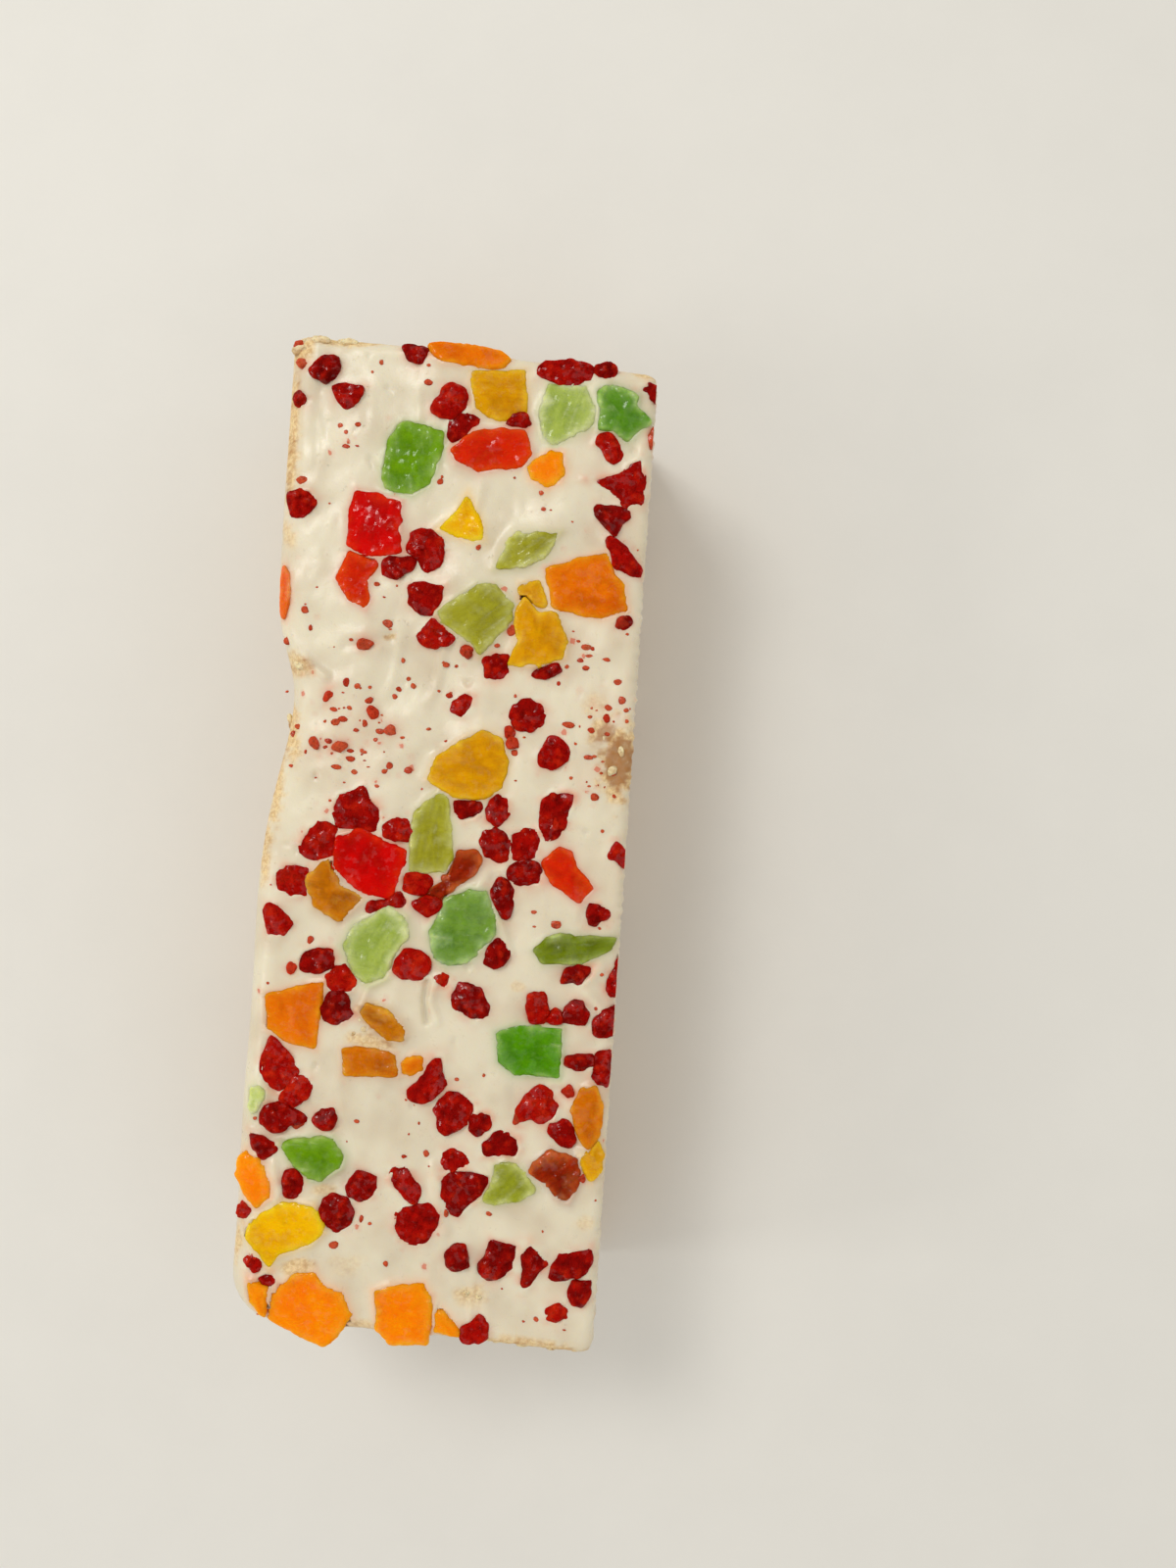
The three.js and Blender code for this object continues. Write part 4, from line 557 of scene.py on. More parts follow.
def make_object(name, vertices, faces, material, attributes=None):
    """A mesh object at the origin from arrays; attributes hold one number or one colour for each vertex."""
    mesh = bpy.data.meshes.new(name)
    mesh.from_pydata(vertices.reshape(-1, 3), [], faces)
    for label, values in (attributes or {}).items():
        flat = np.ascontiguousarray(values, dtype=np.float32)
        if flat.ndim == 1:
            mesh.attributes.new(label, "FLOAT", "POINT").data.foreach_set("value", flat)
        else:
            colour = np.concatenate([flat, np.ones((len(flat), 1), np.float32)], axis=1)
            layer = mesh.attributes.new(label, "FLOAT_COLOR", "POINT")
            layer.data.foreach_set("color", colour.ravel())
    mesh.polygons.foreach_set("use_smooth", np.ones(len(mesh.polygons), dtype=bool))
    mesh.materials.append(material)
    mesh.update()
    piece = bpy.data.objects.new(name, mesh)
    bpy.context.scene.collection.objects.link(piece)
    return piece


def grid_faces(rows, columns):
    """Quads of a grid of points, anticlockwise from above."""
    corner = (np.arange(rows - 1)[:, None] * columns + np.arange(columns - 1)[None, :]).ravel()
    return np.stack([corner, corner + 1, corner + columns + 1, corner + columns], axis=1)


def band_faces(upper, lower):
    """Quads between two closed rings of indices, facing out where the rings run anticlockwise from above."""
    return np.stack([upper, lower, np.roll(lower, -1), np.roll(upper, -1)], axis=1)


def closed_sheet(sheet, rings, turned_over=False):
    """A sheet of rows by columns, walls through the rings from its border, and one flat face to close."""
    rows, columns = sheet.shape[:2]
    vertices = [sheet.reshape(-1, 3)]
    faces = [grid_faces(rows, columns)]
    upper = ring_order(rows, columns)
    count = rows * columns
    for ring in rings:
        lower = count + np.arange(len(ring))
        faces.append(band_faces(upper, lower))
        vertices.append(ring)
        count += len(ring)
        upper = lower
    cap = upper[::-1]
    if turned_over:
        faces = [block[:, ::-1] for block in faces]
        cap = cap[::-1]
    polygons = np.concatenate(faces).tolist()
    polygons.append(cap.tolist())
    return np.concatenate(vertices), polygons


def ball_faces(rings, around, count):
    """Faces of many balls in a row, each a pole, rings of points around and another pole, as one list."""
    ring = 1 + np.arange(rings)[:, None] * around + np.arange(around)[None, :]
    upper, lower = ring[:-1], ring[1:]
    quads = np.stack([upper, lower, np.roll(lower, -1, 1), np.roll(upper, -1, 1)], axis=-1).reshape(-1, 4)
    last = 1 + rings * around
    top = np.stack([np.zeros(around, int), ring[0], np.roll(ring[0], -1)], axis=1)
    base = np.stack([np.full(around, last), np.roll(ring[-1], -1), ring[-1]], axis=1)
    size = last + 1
    offsets = np.arange(count)[:, None, None] * size
    quads = (quads[None] + offsets).reshape(-1, 4)
    caps = (np.concatenate([top, base])[None] + offsets).reshape(-1, 3)
    return quads.tolist() + caps.tolist()


def ball_directions(rings, around):
    """Unit directions of a ball's points: the top pole, rings by latitude, the lower pole."""
    latitude = np.linspace(0, np.pi, rings + 2)[1:-1]
    angle = np.linspace(0, 2 * np.pi, around, endpoint=False)
    across = np.sin(latitude)[:, None]
    body = np.stack([across * np.cos(angle), across * np.sin(angle),
                     np.repeat(np.cos(latitude)[:, None], around, axis=1)], axis=-1).reshape(-1, 3)
    return np.concatenate([[(0, 0, 1)], body, [(0, 0, -1)]])


# ---------- outlines of fruit and crumbs


def corner_rows(numbers):
    """Numbers that are x and y in turn, as rows of corners."""
    return np.reshape(np.array(numbers, dtype=float), (-1, 2))


def outline_middle(corners):
    """The middle of an outline's area: its corners weighed by the triangles that its sides make."""
    points = np.array(corners, dtype=float)
    following = np.roll(points, -1, axis=0)
    share = points[:, 0] * following[:, 1] - following[:, 0] * points[:, 1]
    return ((points + following) * share[:, None]).sum(axis=0) / (3 * share.sum())


def outline_reach(points, angle, softness):
    """How far an outline reaches from its middle: the side that a ray meets, averaged over nearby angles.

    A ray along d meets the side from p along e at p cross e over d cross e, where p cross d over d cross e
    lies between 0 and 1. The average rounds the corners.
    """
    along = np.roll(points, -1, axis=0) - points
    ray_x, ray_y = np.cos(angle)[:, None], np.sin(angle)[:, None]
    facing = ray_x * along[:, 1] - ray_y * along[:, 0]
    facing = np.where(np.abs(facing) < TINY, TINY, facing)
    reach = (points[:, 0] * along[:, 1] - points[:, 1] * along[:, 0]) / facing
    station = (points[:, 0] * ray_y - points[:, 1] * ray_x) / facing
    met = (reach > 0) & (station > -1e-6) & (station < 1 + 1e-6)
    reach = np.where(met, reach, FAR).min(axis=1)
    margin = 3 * softness
    weights = np.exp(-(np.arange(-margin, margin + 1) / softness) ** 2)
    around = np.concatenate([reach[-margin:], reach, reach[:margin]])
    return np.convolve(around, weights / weights.sum(), mode="valid")


def side_distance(x, y, start, end):
    """Distance to the straight stretch between two points, from the foot of the upright on it."""
    along_x, along_y = end[0] - start[0], end[1] - start[1]
    away_x, away_y = x - start[0], y - start[1]
    share = (away_x * along_x + away_y * along_y) / (along_x * along_x + along_y * along_y)
    share = np.clip(share, 0, 1)
    return np.hypot(away_x - share * along_x, away_y - share * along_y)


def curve_distance(x, y, points):
    """Distance to a line through the points, the least over its straight stretches."""
    best = np.full(x.shape, FAR)
    for start, end in zip(points[:-1], points[1:]):
        best = np.minimum(best, side_distance(x, y, start, end))
    return best


def outline_distance(corners, x, y):
    """Distance to the nearest side, below zero inside, where a line to the right crosses an odd number."""
    inside = np.zeros(x.shape, dtype=bool)
    points = np.array(corners, dtype=float)
    for (ax, ay), (bx, by) in zip(points, np.roll(points, -1, axis=0)):
        if ay != by:
            inside ^= ((ay > y) != (by > y)) & (x < ax + (y - ay) * (bx - ax) / (by - ay))
    distance = curve_distance(x, y, np.concatenate([points, points[:1]]))
    return np.where(inside, -distance, distance)


def turned(x, y, degrees):
    """A place in axes that are turned: x cos t plus y sin t, y cos t less x sin t."""
    cosine, sine = math.cos(math.radians(degrees)), math.sin(math.radians(degrees))
    return x * cosine + y * sine, y * cosine - x * sine


def ellipse_corners(row, item):
    """An uneven ellipse as corners: eight angles, each reach times a drawn share."""
    middle_x, middle_y, length, width, turn = row[:5]
    corner = np.arange(8)
    angle = corner * np.pi / 4
    share = 0.42 + 0.2 * draw(item, corner + 70)
    x, y = turned(length * np.cos(angle) * share, width * np.sin(angle) * share, -turn)
    return np.stack([middle_x + x, middle_y + y], axis=-1)


def crumb_outlines():
    """Every crumb's corners: those read from the bar and the small ones' uneven ellipses."""
    small = [ellipse_corners(row, index + SMALL_CRUMB_ITEMS) for index, row in enumerate(SMALL_CRUMBS)]
    return [corner_rows(row) for row in CRUMBS] + small


# ---------- the marshmallow


def patch_share(x, y, patches, seed):
    """How far each place is in a patch: a ragged ellipse's soft step times the patch's strength."""
    ragged = 0.2 * wave_field(np.stack([x, y], axis=-1), 1.7, seed)
    best = np.zeros(x.shape)
    for middle_x, middle_y, length, width, turn, strength in patches:
        along, across = turned(x - middle_x, y - middle_y, turn)
        level = np.hypot(2 * along / length, 2 * across / width) + ragged
        best = np.maximum(best, strength * smooth_step(1.2, 0.55, level))
    return best


def dust_share(x, y):
    """Share of the red dust: a thin layer all over plus a bell over each cloud."""
    share = np.full(x.shape, 0.06)
    for middle_x, middle_y, spread, strength in DUST_CLOUDS:
        share += strength * np.exp(-(((x - middle_x) ** 2 + (y - middle_y) ** 2) / spread ** 2))
    return np.clip(share, 0, 1)


def fruit_shores(x, y, surface, meniscus):
    """Rise of the marshmallow up to each fruit piece, depth of the pocket under it, its nearness and colour.

    Beside a piece the surface climbs to just under the piece's own top plane and falls off with distance.
    """
    rise = np.zeros(x.shape)
    pocket = np.zeros(x.shape)
    near = np.full(x.shape, 9.0)
    hue = np.zeros(x.shape + (3,))
    for index, (_, finish, _, *corners) in enumerate(FRUIT):
        corners = corner_rows(corners)
        (middle_x, middle_y, top), (tilt_x, tilt_y), depth = fruit_place(index)
        reach = np.hypot(*(corners - (middle_x, middle_y)).T).max()
        close = np.hypot(x - middle_x, y - middle_y) < reach + 3
        px, py = x[close], y[close]
        distance = outline_distance(corners, px, py)
        angle = np.arctan2(py - middle_y, px - middle_x)
        plane = top - math.tan(tilt_y) * (px - middle_x) + math.tan(tilt_x) * (py - middle_y)
        lap = 0.14 + 0.12 * np.sin(2 * angle + 7 * draw(index, 91)) * np.sin(3 * angle + 9 * draw(index, 92))
        lift = np.clip(plane - lap - surface[close], 0, 4 * meniscus)
        rise[close] = np.maximum(rise[close], lift * np.exp(-np.clip(distance, 0, 9) / (2.6 * meniscus)))
        sunk = (depth + 0.1) * smooth_step(0.28, 0.7, -distance)
        pocket[close] = np.maximum(pocket[close], sunk)
        nearer = distance < near[close]
        hue[close] = np.where(nearer[..., None], linear(FINISHES[finish][0]), hue[close])
        near[close] = np.minimum(near[close], distance)
    return rise, pocket, near, hue


def crumb_shores(x, y, meniscus):
    """Rise of the marshmallow towards each crumb, and its nearness."""
    rise = np.zeros(x.shape)
    near = np.full(x.shape, 9.0)
    for index, corners in enumerate(crumb_outlines()):
        middle = outline_middle(corners)
        reach = np.hypot(*(corners - middle).T).max()
        close = np.hypot(x - middle[0], y - middle[1]) < reach + 2.2
        distance = outline_distance(corners, x[close], y[close])
        size = min(1, reach / 1.4)
        lift = meniscus * size * between((0.4, 1.1), draw(index, 93))
        rise[close] += lift * np.exp(-np.clip(distance, 0, 9) / (1.9 * meniscus))
        near[close] = np.minimum(near[close], distance)
    return np.minimum(rise, 1.5 * meniscus), near


def mallow_top(x, y, sizes):
    """The poured surface: waves, soft ridges, folds, shores round fruit and crumbs, and worn patches."""
    slanted_y = slanted(x, y)
    flat = np.stack([x, slanted_y], axis=-1)
    edge = edge_distance(x, y)
    inner = smooth_step(0.2, 2.4, edge)
    ripple = sizes.ripple / MM
    height = surface_height(x, y)
    height += ripple * (wave_field(flat, 10, 3, 2) + 0.16 * wave_field(flat, 3.4, 4, 2)) * inner
    ridge = smooth_step(0, 1, 1 - np.clip(np.abs(wave_field(flat * (1, 0.55), 8, 17, 1)) / 0.3, 0, 1))
    height += 0.8 * ripple * ridge * smooth_step(0.1, 0.9, wave_field(flat, 16, 18, 1)) * inner
    meniscus = sizes.meniscus / MM
    fruit_rise, pocket, fruit_near, hue = fruit_shores(x, slanted_y, height, meniscus)
    crumb_rise, crumb_near = crumb_shores(x, slanted_y, meniscus)
    height += np.maximum(fruit_rise, crumb_rise) * (0.35 + 0.65 * inner)
    for points, fold, width in FOLDS:
        height += fold * np.exp(-((curve_distance(x, slanted_y, points) / width) ** 2))
    bare = patch_share(x, slanted_y, BARE_PATCHES, 5)
    grain = wave_field(flat, 0.9, 6, 2)
    height += bare * (-0.1 + 0.09 * grain + 0.03 * wave_field(flat, 0.45, 19, 2))
    height -= 0.24 * smooth_step(0.1, 0.9, wave_field(flat, 3.2, 7, 2) - 1.0) * inner
    height -= 0.55 * smooth_step(0.1, 0.6, -crumb_near)
    height -= pocket * smooth_step(0.0, 0.9, edge)
    return height, {"bare": bare, "grain": grain, "fruit_near": fruit_near, "crumb_near": crumb_near,
                    "hue": hue, "dust": dust_share(x, slanted_y),
                    "toast": patch_share(x, slanted_y, TOASTED_PATCHES, 9)}


def blend_colours(low, high, share):
    """The first colours at share 0, the second at share 1."""
    return low + (high - low) * np.clip(share, 0, 1)[..., None]


def linear(colour):
    """A screen colour, 0 to 255, as the linear numbers that shading works with."""
    value = np.asarray(colour, dtype=float) / 255
    return np.where(value < 0.04045, value / 12.92, ((value + 0.055) / 1.055) ** 2.4)


CREAM = linear((222, 212, 185))
CREAM_SHADE = linear((205, 189, 161))
CREAM_BLUSH = linear((218, 142, 112))
BARE_LIGHT = linear((236, 206, 148))
BARE_BROWN = linear((166, 112, 54))


def mallow_colours(points, facts, colours):
    """Cream with cloudy thin places, pink where crumbs bled into it, tan where the dough shows, and a painted
    glow of the nearest fruit's colour beside each piece.
    """
    cream, thin, stained, brown = (np.array(getattr(colours, name)) for name in (
        "cream", "cream_shade", "blush", "bare"))
    cloud = wave_field(points, 6, 8, 3)
    colour = blend_colours(cream, thin, 0.2 + 0.34 * cloud)
    bleeding = np.exp(-np.clip(facts["crumb_near"], 0, 9) / 0.45)
    bleeding *= smooth_step(-1.0, 1.2, wave_field(points, 2.2, 9, 2))
    colour = blend_colours(colour, stained, 0.7 * bleeding + 0.12 * facts["dust"])
    # Painted glow: the nearest fruit's colour laid on the cream, fading over about a millimetre from each
    # piece.
    colour = blend_colours(colour, facts["hue"], 0.34 * np.exp(-np.clip(facts["fruit_near"], 0, 9) / 0.35))
    toast = smooth_step(0.2, 1.8, 0.6 * facts["grain"] + 0.9 * cloud + 2.2 * facts["toast"])
    tan = blend_colours(BARE_LIGHT, brown, toast)
    return blend_colours(colour, tan, facts["bare"] * (0.9 + 0.1 * facts["grain"]))


MALLOW_STEP = 0.25
MALLOW_WALL_RINGS = 14
MALLOW_SKIRT = 1.9
UNDERSIDE_INSET = 1.2
UNDERSIDE_DROP = 1.1


def build_marshmallow(sizes, colours, material):
    """A sheet over the footprint, cut walls that sag and wander a little, and a flat closed underside."""
    x, y = footprint_grid(MALLOW_STEP)
    height, facts = mallow_top(x, y, sizes)
    torn = 0.1 * wave_field(np.stack([y, 0 * y], axis=-1), 0.9, 16, 3)
    x = x + torn * smooth_step(1.0, 0.0, right_edge(y) - x)
    sheet = np.stack([x, y, height], axis=-1)
    border = ring_order(*x.shape)
    edge = sheet.reshape(-1, 3)[border]
    outward = outward_of(edge[:, :2])
    ragged = wave_field(edge[:, :2], 5, 12, 3)
    low = DOUGH_HEIGHT - MALLOW_SKIRT + 0.45 * ragged
    rings = []
    for ring in range(1, MALLOW_WALL_RINGS + 1):
        share = ring / MALLOW_WALL_RINGS
        z = edge[:, 2] + (low - edge[:, 2]) * share
        spot = np.column_stack([edge[:, :2], z])
        streaks = wave_field(spot * (1, 1, 0.35), 1.6, 13, 3)
        inset = 0.12 + 0.11 * streaks + 0.16 * wave_field(spot, 6, 14, 1) * share
        inset = np.clip(inset, 0, 0.6) * smooth_step(0.15, 0.5, share)
        inset += 1.5 * smooth_step(0.72, 1.0, share) ** 2
        rings.append(np.column_stack([edge[:, :2] - outward * inset[:, None], z]))
    floor = np.full(len(edge), DOUGH_HEIGHT - MALLOW_SKIRT - UNDERSIDE_DROP)
    rings.append(np.column_stack([rings[-1][:, :2] - UNDERSIDE_INSET * outward, floor]))
    vertices, faces = closed_sheet(sheet, rings)
    tail = {}
    for key, values in facts.items():
        values = values.reshape((x.size,) + values.shape[2:])
        tail[key] = np.concatenate([values] + [values[border]] * len(rings))
    below = np.arange(len(vertices)) >= x.size
    tail["bare"] = np.where(below, 0.6 * smooth_step(23.4, 21.2, vertices[:, 2]), tail["bare"])
    tail["grain"] = np.where(below, wave_field(vertices, 1.4, 15, 2), tail["grain"])
    tail["dust"] = np.where(below, 0.12, tail["dust"])
    tone = mallow_colours(vertices, tail, colours)
    vertices[:, 1] = slanted(vertices[:, 0], vertices[:, 1])
    return make_object("marshmallow_pour", placed(vertices), faces, material, {
        "tone": tone, "dust": tail["dust"], "bare": tail["bare"]})


# ---------- the puffed dough


def cut_faces():
    """The four cut faces, anticlockwise from the low end: start, direction along and length, slanted."""
    corners = [(LEFT_FACE, LOW_END), (RIGHT_FACE, LOW_END), (RIGHT_FACE, HIGH_END), (LEFT_FACE, HIGH_END)]
    corners = np.array([(x, slanted(x, y)) for x, y in corners])
    along = np.roll(corners, -1, axis=0) - corners
    length = np.linalg.norm(along, axis=1)
    return corners, along / length[:, None], length


def face_strands():
    """Every strand of the four faces, as the ends of its middle line and its radius."""
    starts, alongs, lengths = cut_faces()
    up = np.array((0.0, 0.0, 1.0))
    rows = []
    for start, along, length in zip(starts, alongs, lengths):
        along = np.array((along[0], along[1], 0.0))
        outward = np.cross(along, up)
        columns = round(length / STRAND_PITCH)
        for row in range(len(STRAND_ROWS)):
            for column in range(columns):
                item = len(rows) + 1
                radius = between(STRAND_RADIUS, draw(item, 1))
                through = draw(item, 2) < THROUGH_SHARE
                tilt = (draw(item, 3) - 0.5) * STRAND_TILT
                yaw = (draw(item, 4) - 0.5) * STRAND_YAW
                depth = radius * (THROUGH_DEPTH if through else between(STRAND_DEPTH, draw(item, 5)))
                stray = STRAND_STRAY[0] * (draw(item, 6) - 0.5)
                place = (column + 0.5 * (row % 2) + 0.25 + stray) / columns
                level = STRAND_ROWS[row] + STRAND_STRAY[1] * (draw(item, 7) - 0.5)
                middle = np.array((start[0], start[1], level)) + along * place * length - outward * depth
                if through:
                    direction = outward + along * tilt * 0.6 + up * yaw
                else:
                    direction = along + up * math.tan(tilt) + outward * yaw * 0.5
                direction = direction / np.linalg.norm(direction)
                half = radius if through else between(STRAND_REACH, draw(item, 8)) / 2
                rows.append((middle - direction * half, middle + direction * half, radius))
    return rows


BASE_ROWS = 14
BASE_COLUMNS = 5
BASE_PITCH = (7.4, 7.2)
BASE_MARGIN = 4
BASE_STRAY = 3
BASE_RADIUS = (2.6, 3.5)
BASE_REACH = (3.5, 8)
BASE_LIFT = 0.72


def base_strands():
    """Strands pressed flat on the base: seeded places on a loose grid, turned at random."""
    rows = []
    for row in range(BASE_ROWS):
        for column in range(BASE_COLUMNS):
            item = BASE_ITEMS + row * BASE_COLUMNS + column
            radius = between(BASE_RADIUS, draw(item, 1))
            x = BASE_PITCH[0] * (column - (BASE_COLUMNS - 1) / 2) + BASE_STRAY * (draw(item, 2) - 0.5)
            y = LOW_END + BASE_MARGIN + BASE_PITCH[1] * row + BASE_STRAY * (draw(item, 3) - 0.5)
            turn = math.pi * draw(item, 4)
            half = between(BASE_REACH, draw(item, 5)) / 2
            along = np.array((math.cos(turn), math.sin(turn), 0.0)) * half
            middle = np.array((x, y, BASE_LIFT * radius))
            rows.append((middle - along, middle + along, radius))
    return rows


def dot(first, second):
    """Row by row, the sum of the products."""
    return np.einsum("ij,ij->i", first, second)


def entry_of(a, b, c):
    """Where a ray enters: the nearer root of a t squared + 2 b t + c = 0, 0 from inside, FAR on a miss."""
    root = b * b - a * c
    hit = (root > 0) & (a > TINY)
    spread = np.sqrt(np.maximum(root, 0))
    a = np.maximum(a, TINY)
    enters, leaves = (-b - spread) / a, (-b + spread) / a
    enters = np.where((enters < 0) & (leaves > 0), 0.0, enters)
    return np.where(hit & (enters >= 0), enters, FAR)


def strand_depths(points, inward, strands, deepest):
    """How far in the first strand lies: the least of the rays' entries into capsules swollen by blisters.

    A capsule's entry is the ray's into its cylinder, between the two ends, or into its two end balls.
    """
    depth = np.full(len(points), deepest)
    label = np.zeros(len(points))
    swollen = 0.3 * wave_field(points, 3.2, 21, 2)
    for number, (first, last, radius) in enumerate(strands):
        axis = last - first
        length = np.linalg.norm(axis)
        axis = axis / length
        middle = (first + last) / 2
        close = np.linalg.norm(points - middle, axis=1) < length / 2 + radius + deepest + 1
        if not close.any():
            continue
        start, ray = points[close], inward[close]
        size = radius * (1 + 0.16 * swollen[close])
        offset = start - first
        flat_ray = ray - np.outer(ray @ axis, axis)
        flat_offset = offset - np.outer(offset @ axis, axis)
        entry = entry_of(dot(flat_ray, flat_ray), dot(flat_ray, flat_offset),
                         dot(flat_offset, flat_offset) - size * size)
        station = ((offset + ray * entry[:, None]) @ axis) / length
        entry = np.where((station > 0) & (station < 1), entry, FAR)
        for end in (first, last):
            offset = start - end
            entry = np.minimum(entry, entry_of(1.0, dot(ray, offset), dot(offset, offset) - size * size))
        nearer = entry < depth[close]
        where = np.flatnonzero(close)[nearer]
        depth[where] = entry[nearer]
        label[where] = draw(number + 1, 30)
    return depth, label


CUT_FOAM = linear((246, 220, 172))
CUT_FOAM_DEEP = linear((218, 166, 104))
FRIED_LIGHT = linear((234, 182, 104))
FRIED_DARK = linear((194, 134, 60))
BINDER = linear((240, 226, 186))


def dough_relief(points, inward, strands, deepest):
    """Depth under the cut plane and colours: strands, foam pores in the cut ones and binder between them,
    with painted shade in the hollows between strands and in the pores.
    """
    depth, label = strand_depths(points, inward, strands, deepest)
    blister = wave_field(points, 1.3, 22, 2)
    cut = smooth_step(0.16, 0.0, depth)
    hollow = smooth_step(deepest - 0.7, deepest, depth)
    pore_gap, pore_label = cell_field(points, 1.15, 31)
    pore = smooth_step(0.46, 0.2, pore_gap - 0.16 * pore_label) * cut
    relief = depth + 0.09 * blister * (1 - cut) + 0.4 * pore + cut * (0.08 + 0.05 * blister)
    binder = smooth_step(0.6, 1.5, wave_field(points, 4.5, 23, 2) + 1.1 * hollow)
    relief -= binder * hollow * between((0.3, 1.0), smooth_step(-1, 1, wave_field(points, 2.1, 24, 1)))
    # The fried tone darkens in the hollows between strands as painted shade.
    fried = blend_colours(FRIED_LIGHT, FRIED_DARK, 0.2 + 0.3 * label + 0.2 * blister + 0.3 * hollow)
    # Pores in the cut foam are darkened towards CUT_FOAM_DEEP as painted shade.
    foam = blend_colours(CUT_FOAM, CUT_FOAM_DEEP, 0.15 + 0.7 * pore + 0.15 * blister)
    colour = blend_colours(fried, foam, cut)
    colour = blend_colours(colour, np.broadcast_to(BINDER, colour.shape), binder * hollow)
    return np.maximum(relief, 0), colour, cut


DOUGH_STEP = 0.42
DOUGH_WALL_RINGS = 66
DOUGH_DEEPEST = 2.5
BASE_DEEPEST = 1.2
LID_INSET = 1.5
LID_DROP = 0.1
DRAWN_IN_OVER = 8
FIRST_RING = 0.12
CALM_CORNER = 3.2
CALM_TOP = (2.4, 0.8)
CALM_FLOOR = (3.5, 0.2)
FLOOR_ROUNDING = 0.9
SHOULDER = (20.9, 22.5)
LEAST_GROOVE = 0.16


def drawn_in(x, y, moves):
    """The base's shift: each border's moves fade inward over a stretch, less what a corner gets from both."""
    left, right, low, high = (smooth_step(DRAWN_IN_OVER, 0, away)[..., None] for away in (
        x - x[:, :1], x[:, -1:] - x, y - y[:1], y[-1:] - y))
    total = left * moves[:, :1] + right * moves[:, -1:] + low * moves[:1] + high * moves[-1:]
    total -= low * (left * moves[0, 0] + right * moves[0, -1])
    return total - high * (left * moves[-1, 0] + right * moves[-1, -1])


def build_dough(material):
    """A sheet for the base, walls of strands up from its border, and a flat top under the marshmallow."""
    x, y = footprint_grid(DOUGH_STEP)
    border = ring_order(*x.shape)
    base = np.stack([x, slanted(x, y), 0 * x], axis=-1)
    edge = base.reshape(-1, 3)[border, :2]
    outward = np.column_stack([outward_of(edge), np.zeros(len(edge))])
    corner = 0.35 + 0.65 * smooth_step(0, CALM_CORNER, corner_distance(edge))
    strands = face_strands()
    rings, colours, cuts = [], [], []
    levels = np.linspace(0, DOUGH_HEIGHT, DOUGH_WALL_RINGS + 1)[1:]
    levels[0] = FIRST_RING
    for level in levels:
        spot = np.column_stack([edge, np.full(len(edge), level)])
        relief, colour, cut = dough_relief(spot, -outward, strands, DOUGH_DEEPEST)
        relief *= 1 - 0.7 * smooth_step(DOUGH_HEIGHT - CALM_TOP[0], DOUGH_HEIGHT - CALM_TOP[1], level)
        relief *= 1 - 0.6 * smooth_step(*CALM_FLOOR, level)
        relief += rounding(np.full(len(edge), level), FLOOR_ROUNDING) + 0.9 * smooth_step(*SHOULDER, level)
        rings.append(spot - outward * (relief * corner)[:, None])
        colours.append(colour)
        cuts.append(cut)
    last = rings[-1]
    lid = np.full(len(edge), DOUGH_HEIGHT - LID_DROP)
    rings.append(np.column_stack([last[:, :2] - LID_INSET * outward[:, :2], lid]))
    moves = np.zeros((x.size, 2))
    moves[border] = rings[0][:, :2] - edge
    base[..., :2] += drawn_in(x, y, moves.reshape(x.shape + (2,)))
    base = base.reshape(-1, 3)
    base[border, :2] = rings[0][:, :2]
    up = np.tile((0.0, 0.0, 1.0), (len(base), 1))
    groove, base_colour, base_cut = dough_relief(base, up, base_strands(), BASE_DEEPEST)
    groove = np.where(groove < LEAST_GROOVE, 0, groove)
    groove = groove * smooth_step(0.6, 2.4, edge_distance(x, y)).ravel()
    sheet = (base + np.outer(groove, (0, 0, 1))).reshape(x.shape + (3,))
    vertices, faces = closed_sheet(sheet, rings, turned_over=True)
    return make_object("dough_strands", placed(vertices), faces, material, {
        "tone": np.concatenate([base_colour] + colours + colours[-1:]),
        "cut": np.concatenate([base_cut] + cuts + cuts[-1:])})


def corner_distance(edge):
    """Distance in plan to the nearest of the bar's four corners."""
    corners = cut_faces()[0]
    return np.linalg.norm(edge[:, None, :] - corners[None], axis=2).min(axis=1)


# ---------- candied fruit


def slope(rise):
    """The angle of a rise, held within the steepest that fruit lies at."""
    steepest = math.radians(STEEPEST_FRUIT)
    return np.clip(np.arctan(rise), -steepest, steepest)


def fruit_place(index):
    """Where a piece lies: its top's middle, its tilts and its depth, from the marshmallow's slope there."""
    item = index + 1
    corners = corner_rows(FRUIT[index][3:])
    x, y = outline_middle(corners)
    reach = 0.8
    rise_x = (height_at(x + reach, y) - height_at(x - reach, y)) / (2 * reach)
    rise_y = (height_at(x, y + reach) - height_at(x, y - reach)) / (2 * reach)
    tilt_x = slope(rise_y) + 0.08 * (draw(item, 60) - 0.5)
    tilt_y = -slope(rise_x) + 0.08 * (draw(item, 61) - 0.5)
    top = height_at(x, y) + between(FRUIT_PROUD, draw(item, 62))
    dip = np.hypot(*(corners - (x, y)).T).max() * max(abs(tilt_x), abs(tilt_y))
    return (x, y, top), (tilt_x, tilt_y), min(FRUIT_DEPTH, top - dip - FRUIT_FLOOR)


def tilted(points, tilts):
    """Points turned about Y, then X."""
    tilt_x, tilt_y = tilts
    x, y, z = np.moveaxis(points, -1, 0)
    x, z = x * math.cos(tilt_y) + z * math.sin(tilt_y), z * math.cos(tilt_y) - x * math.sin(tilt_y)
    y, z = y * math.cos(tilt_x) - z * math.sin(tilt_x), y * math.sin(tilt_x) + z * math.cos(tilt_x)
    return np.stack([x, y, z], axis=-1)


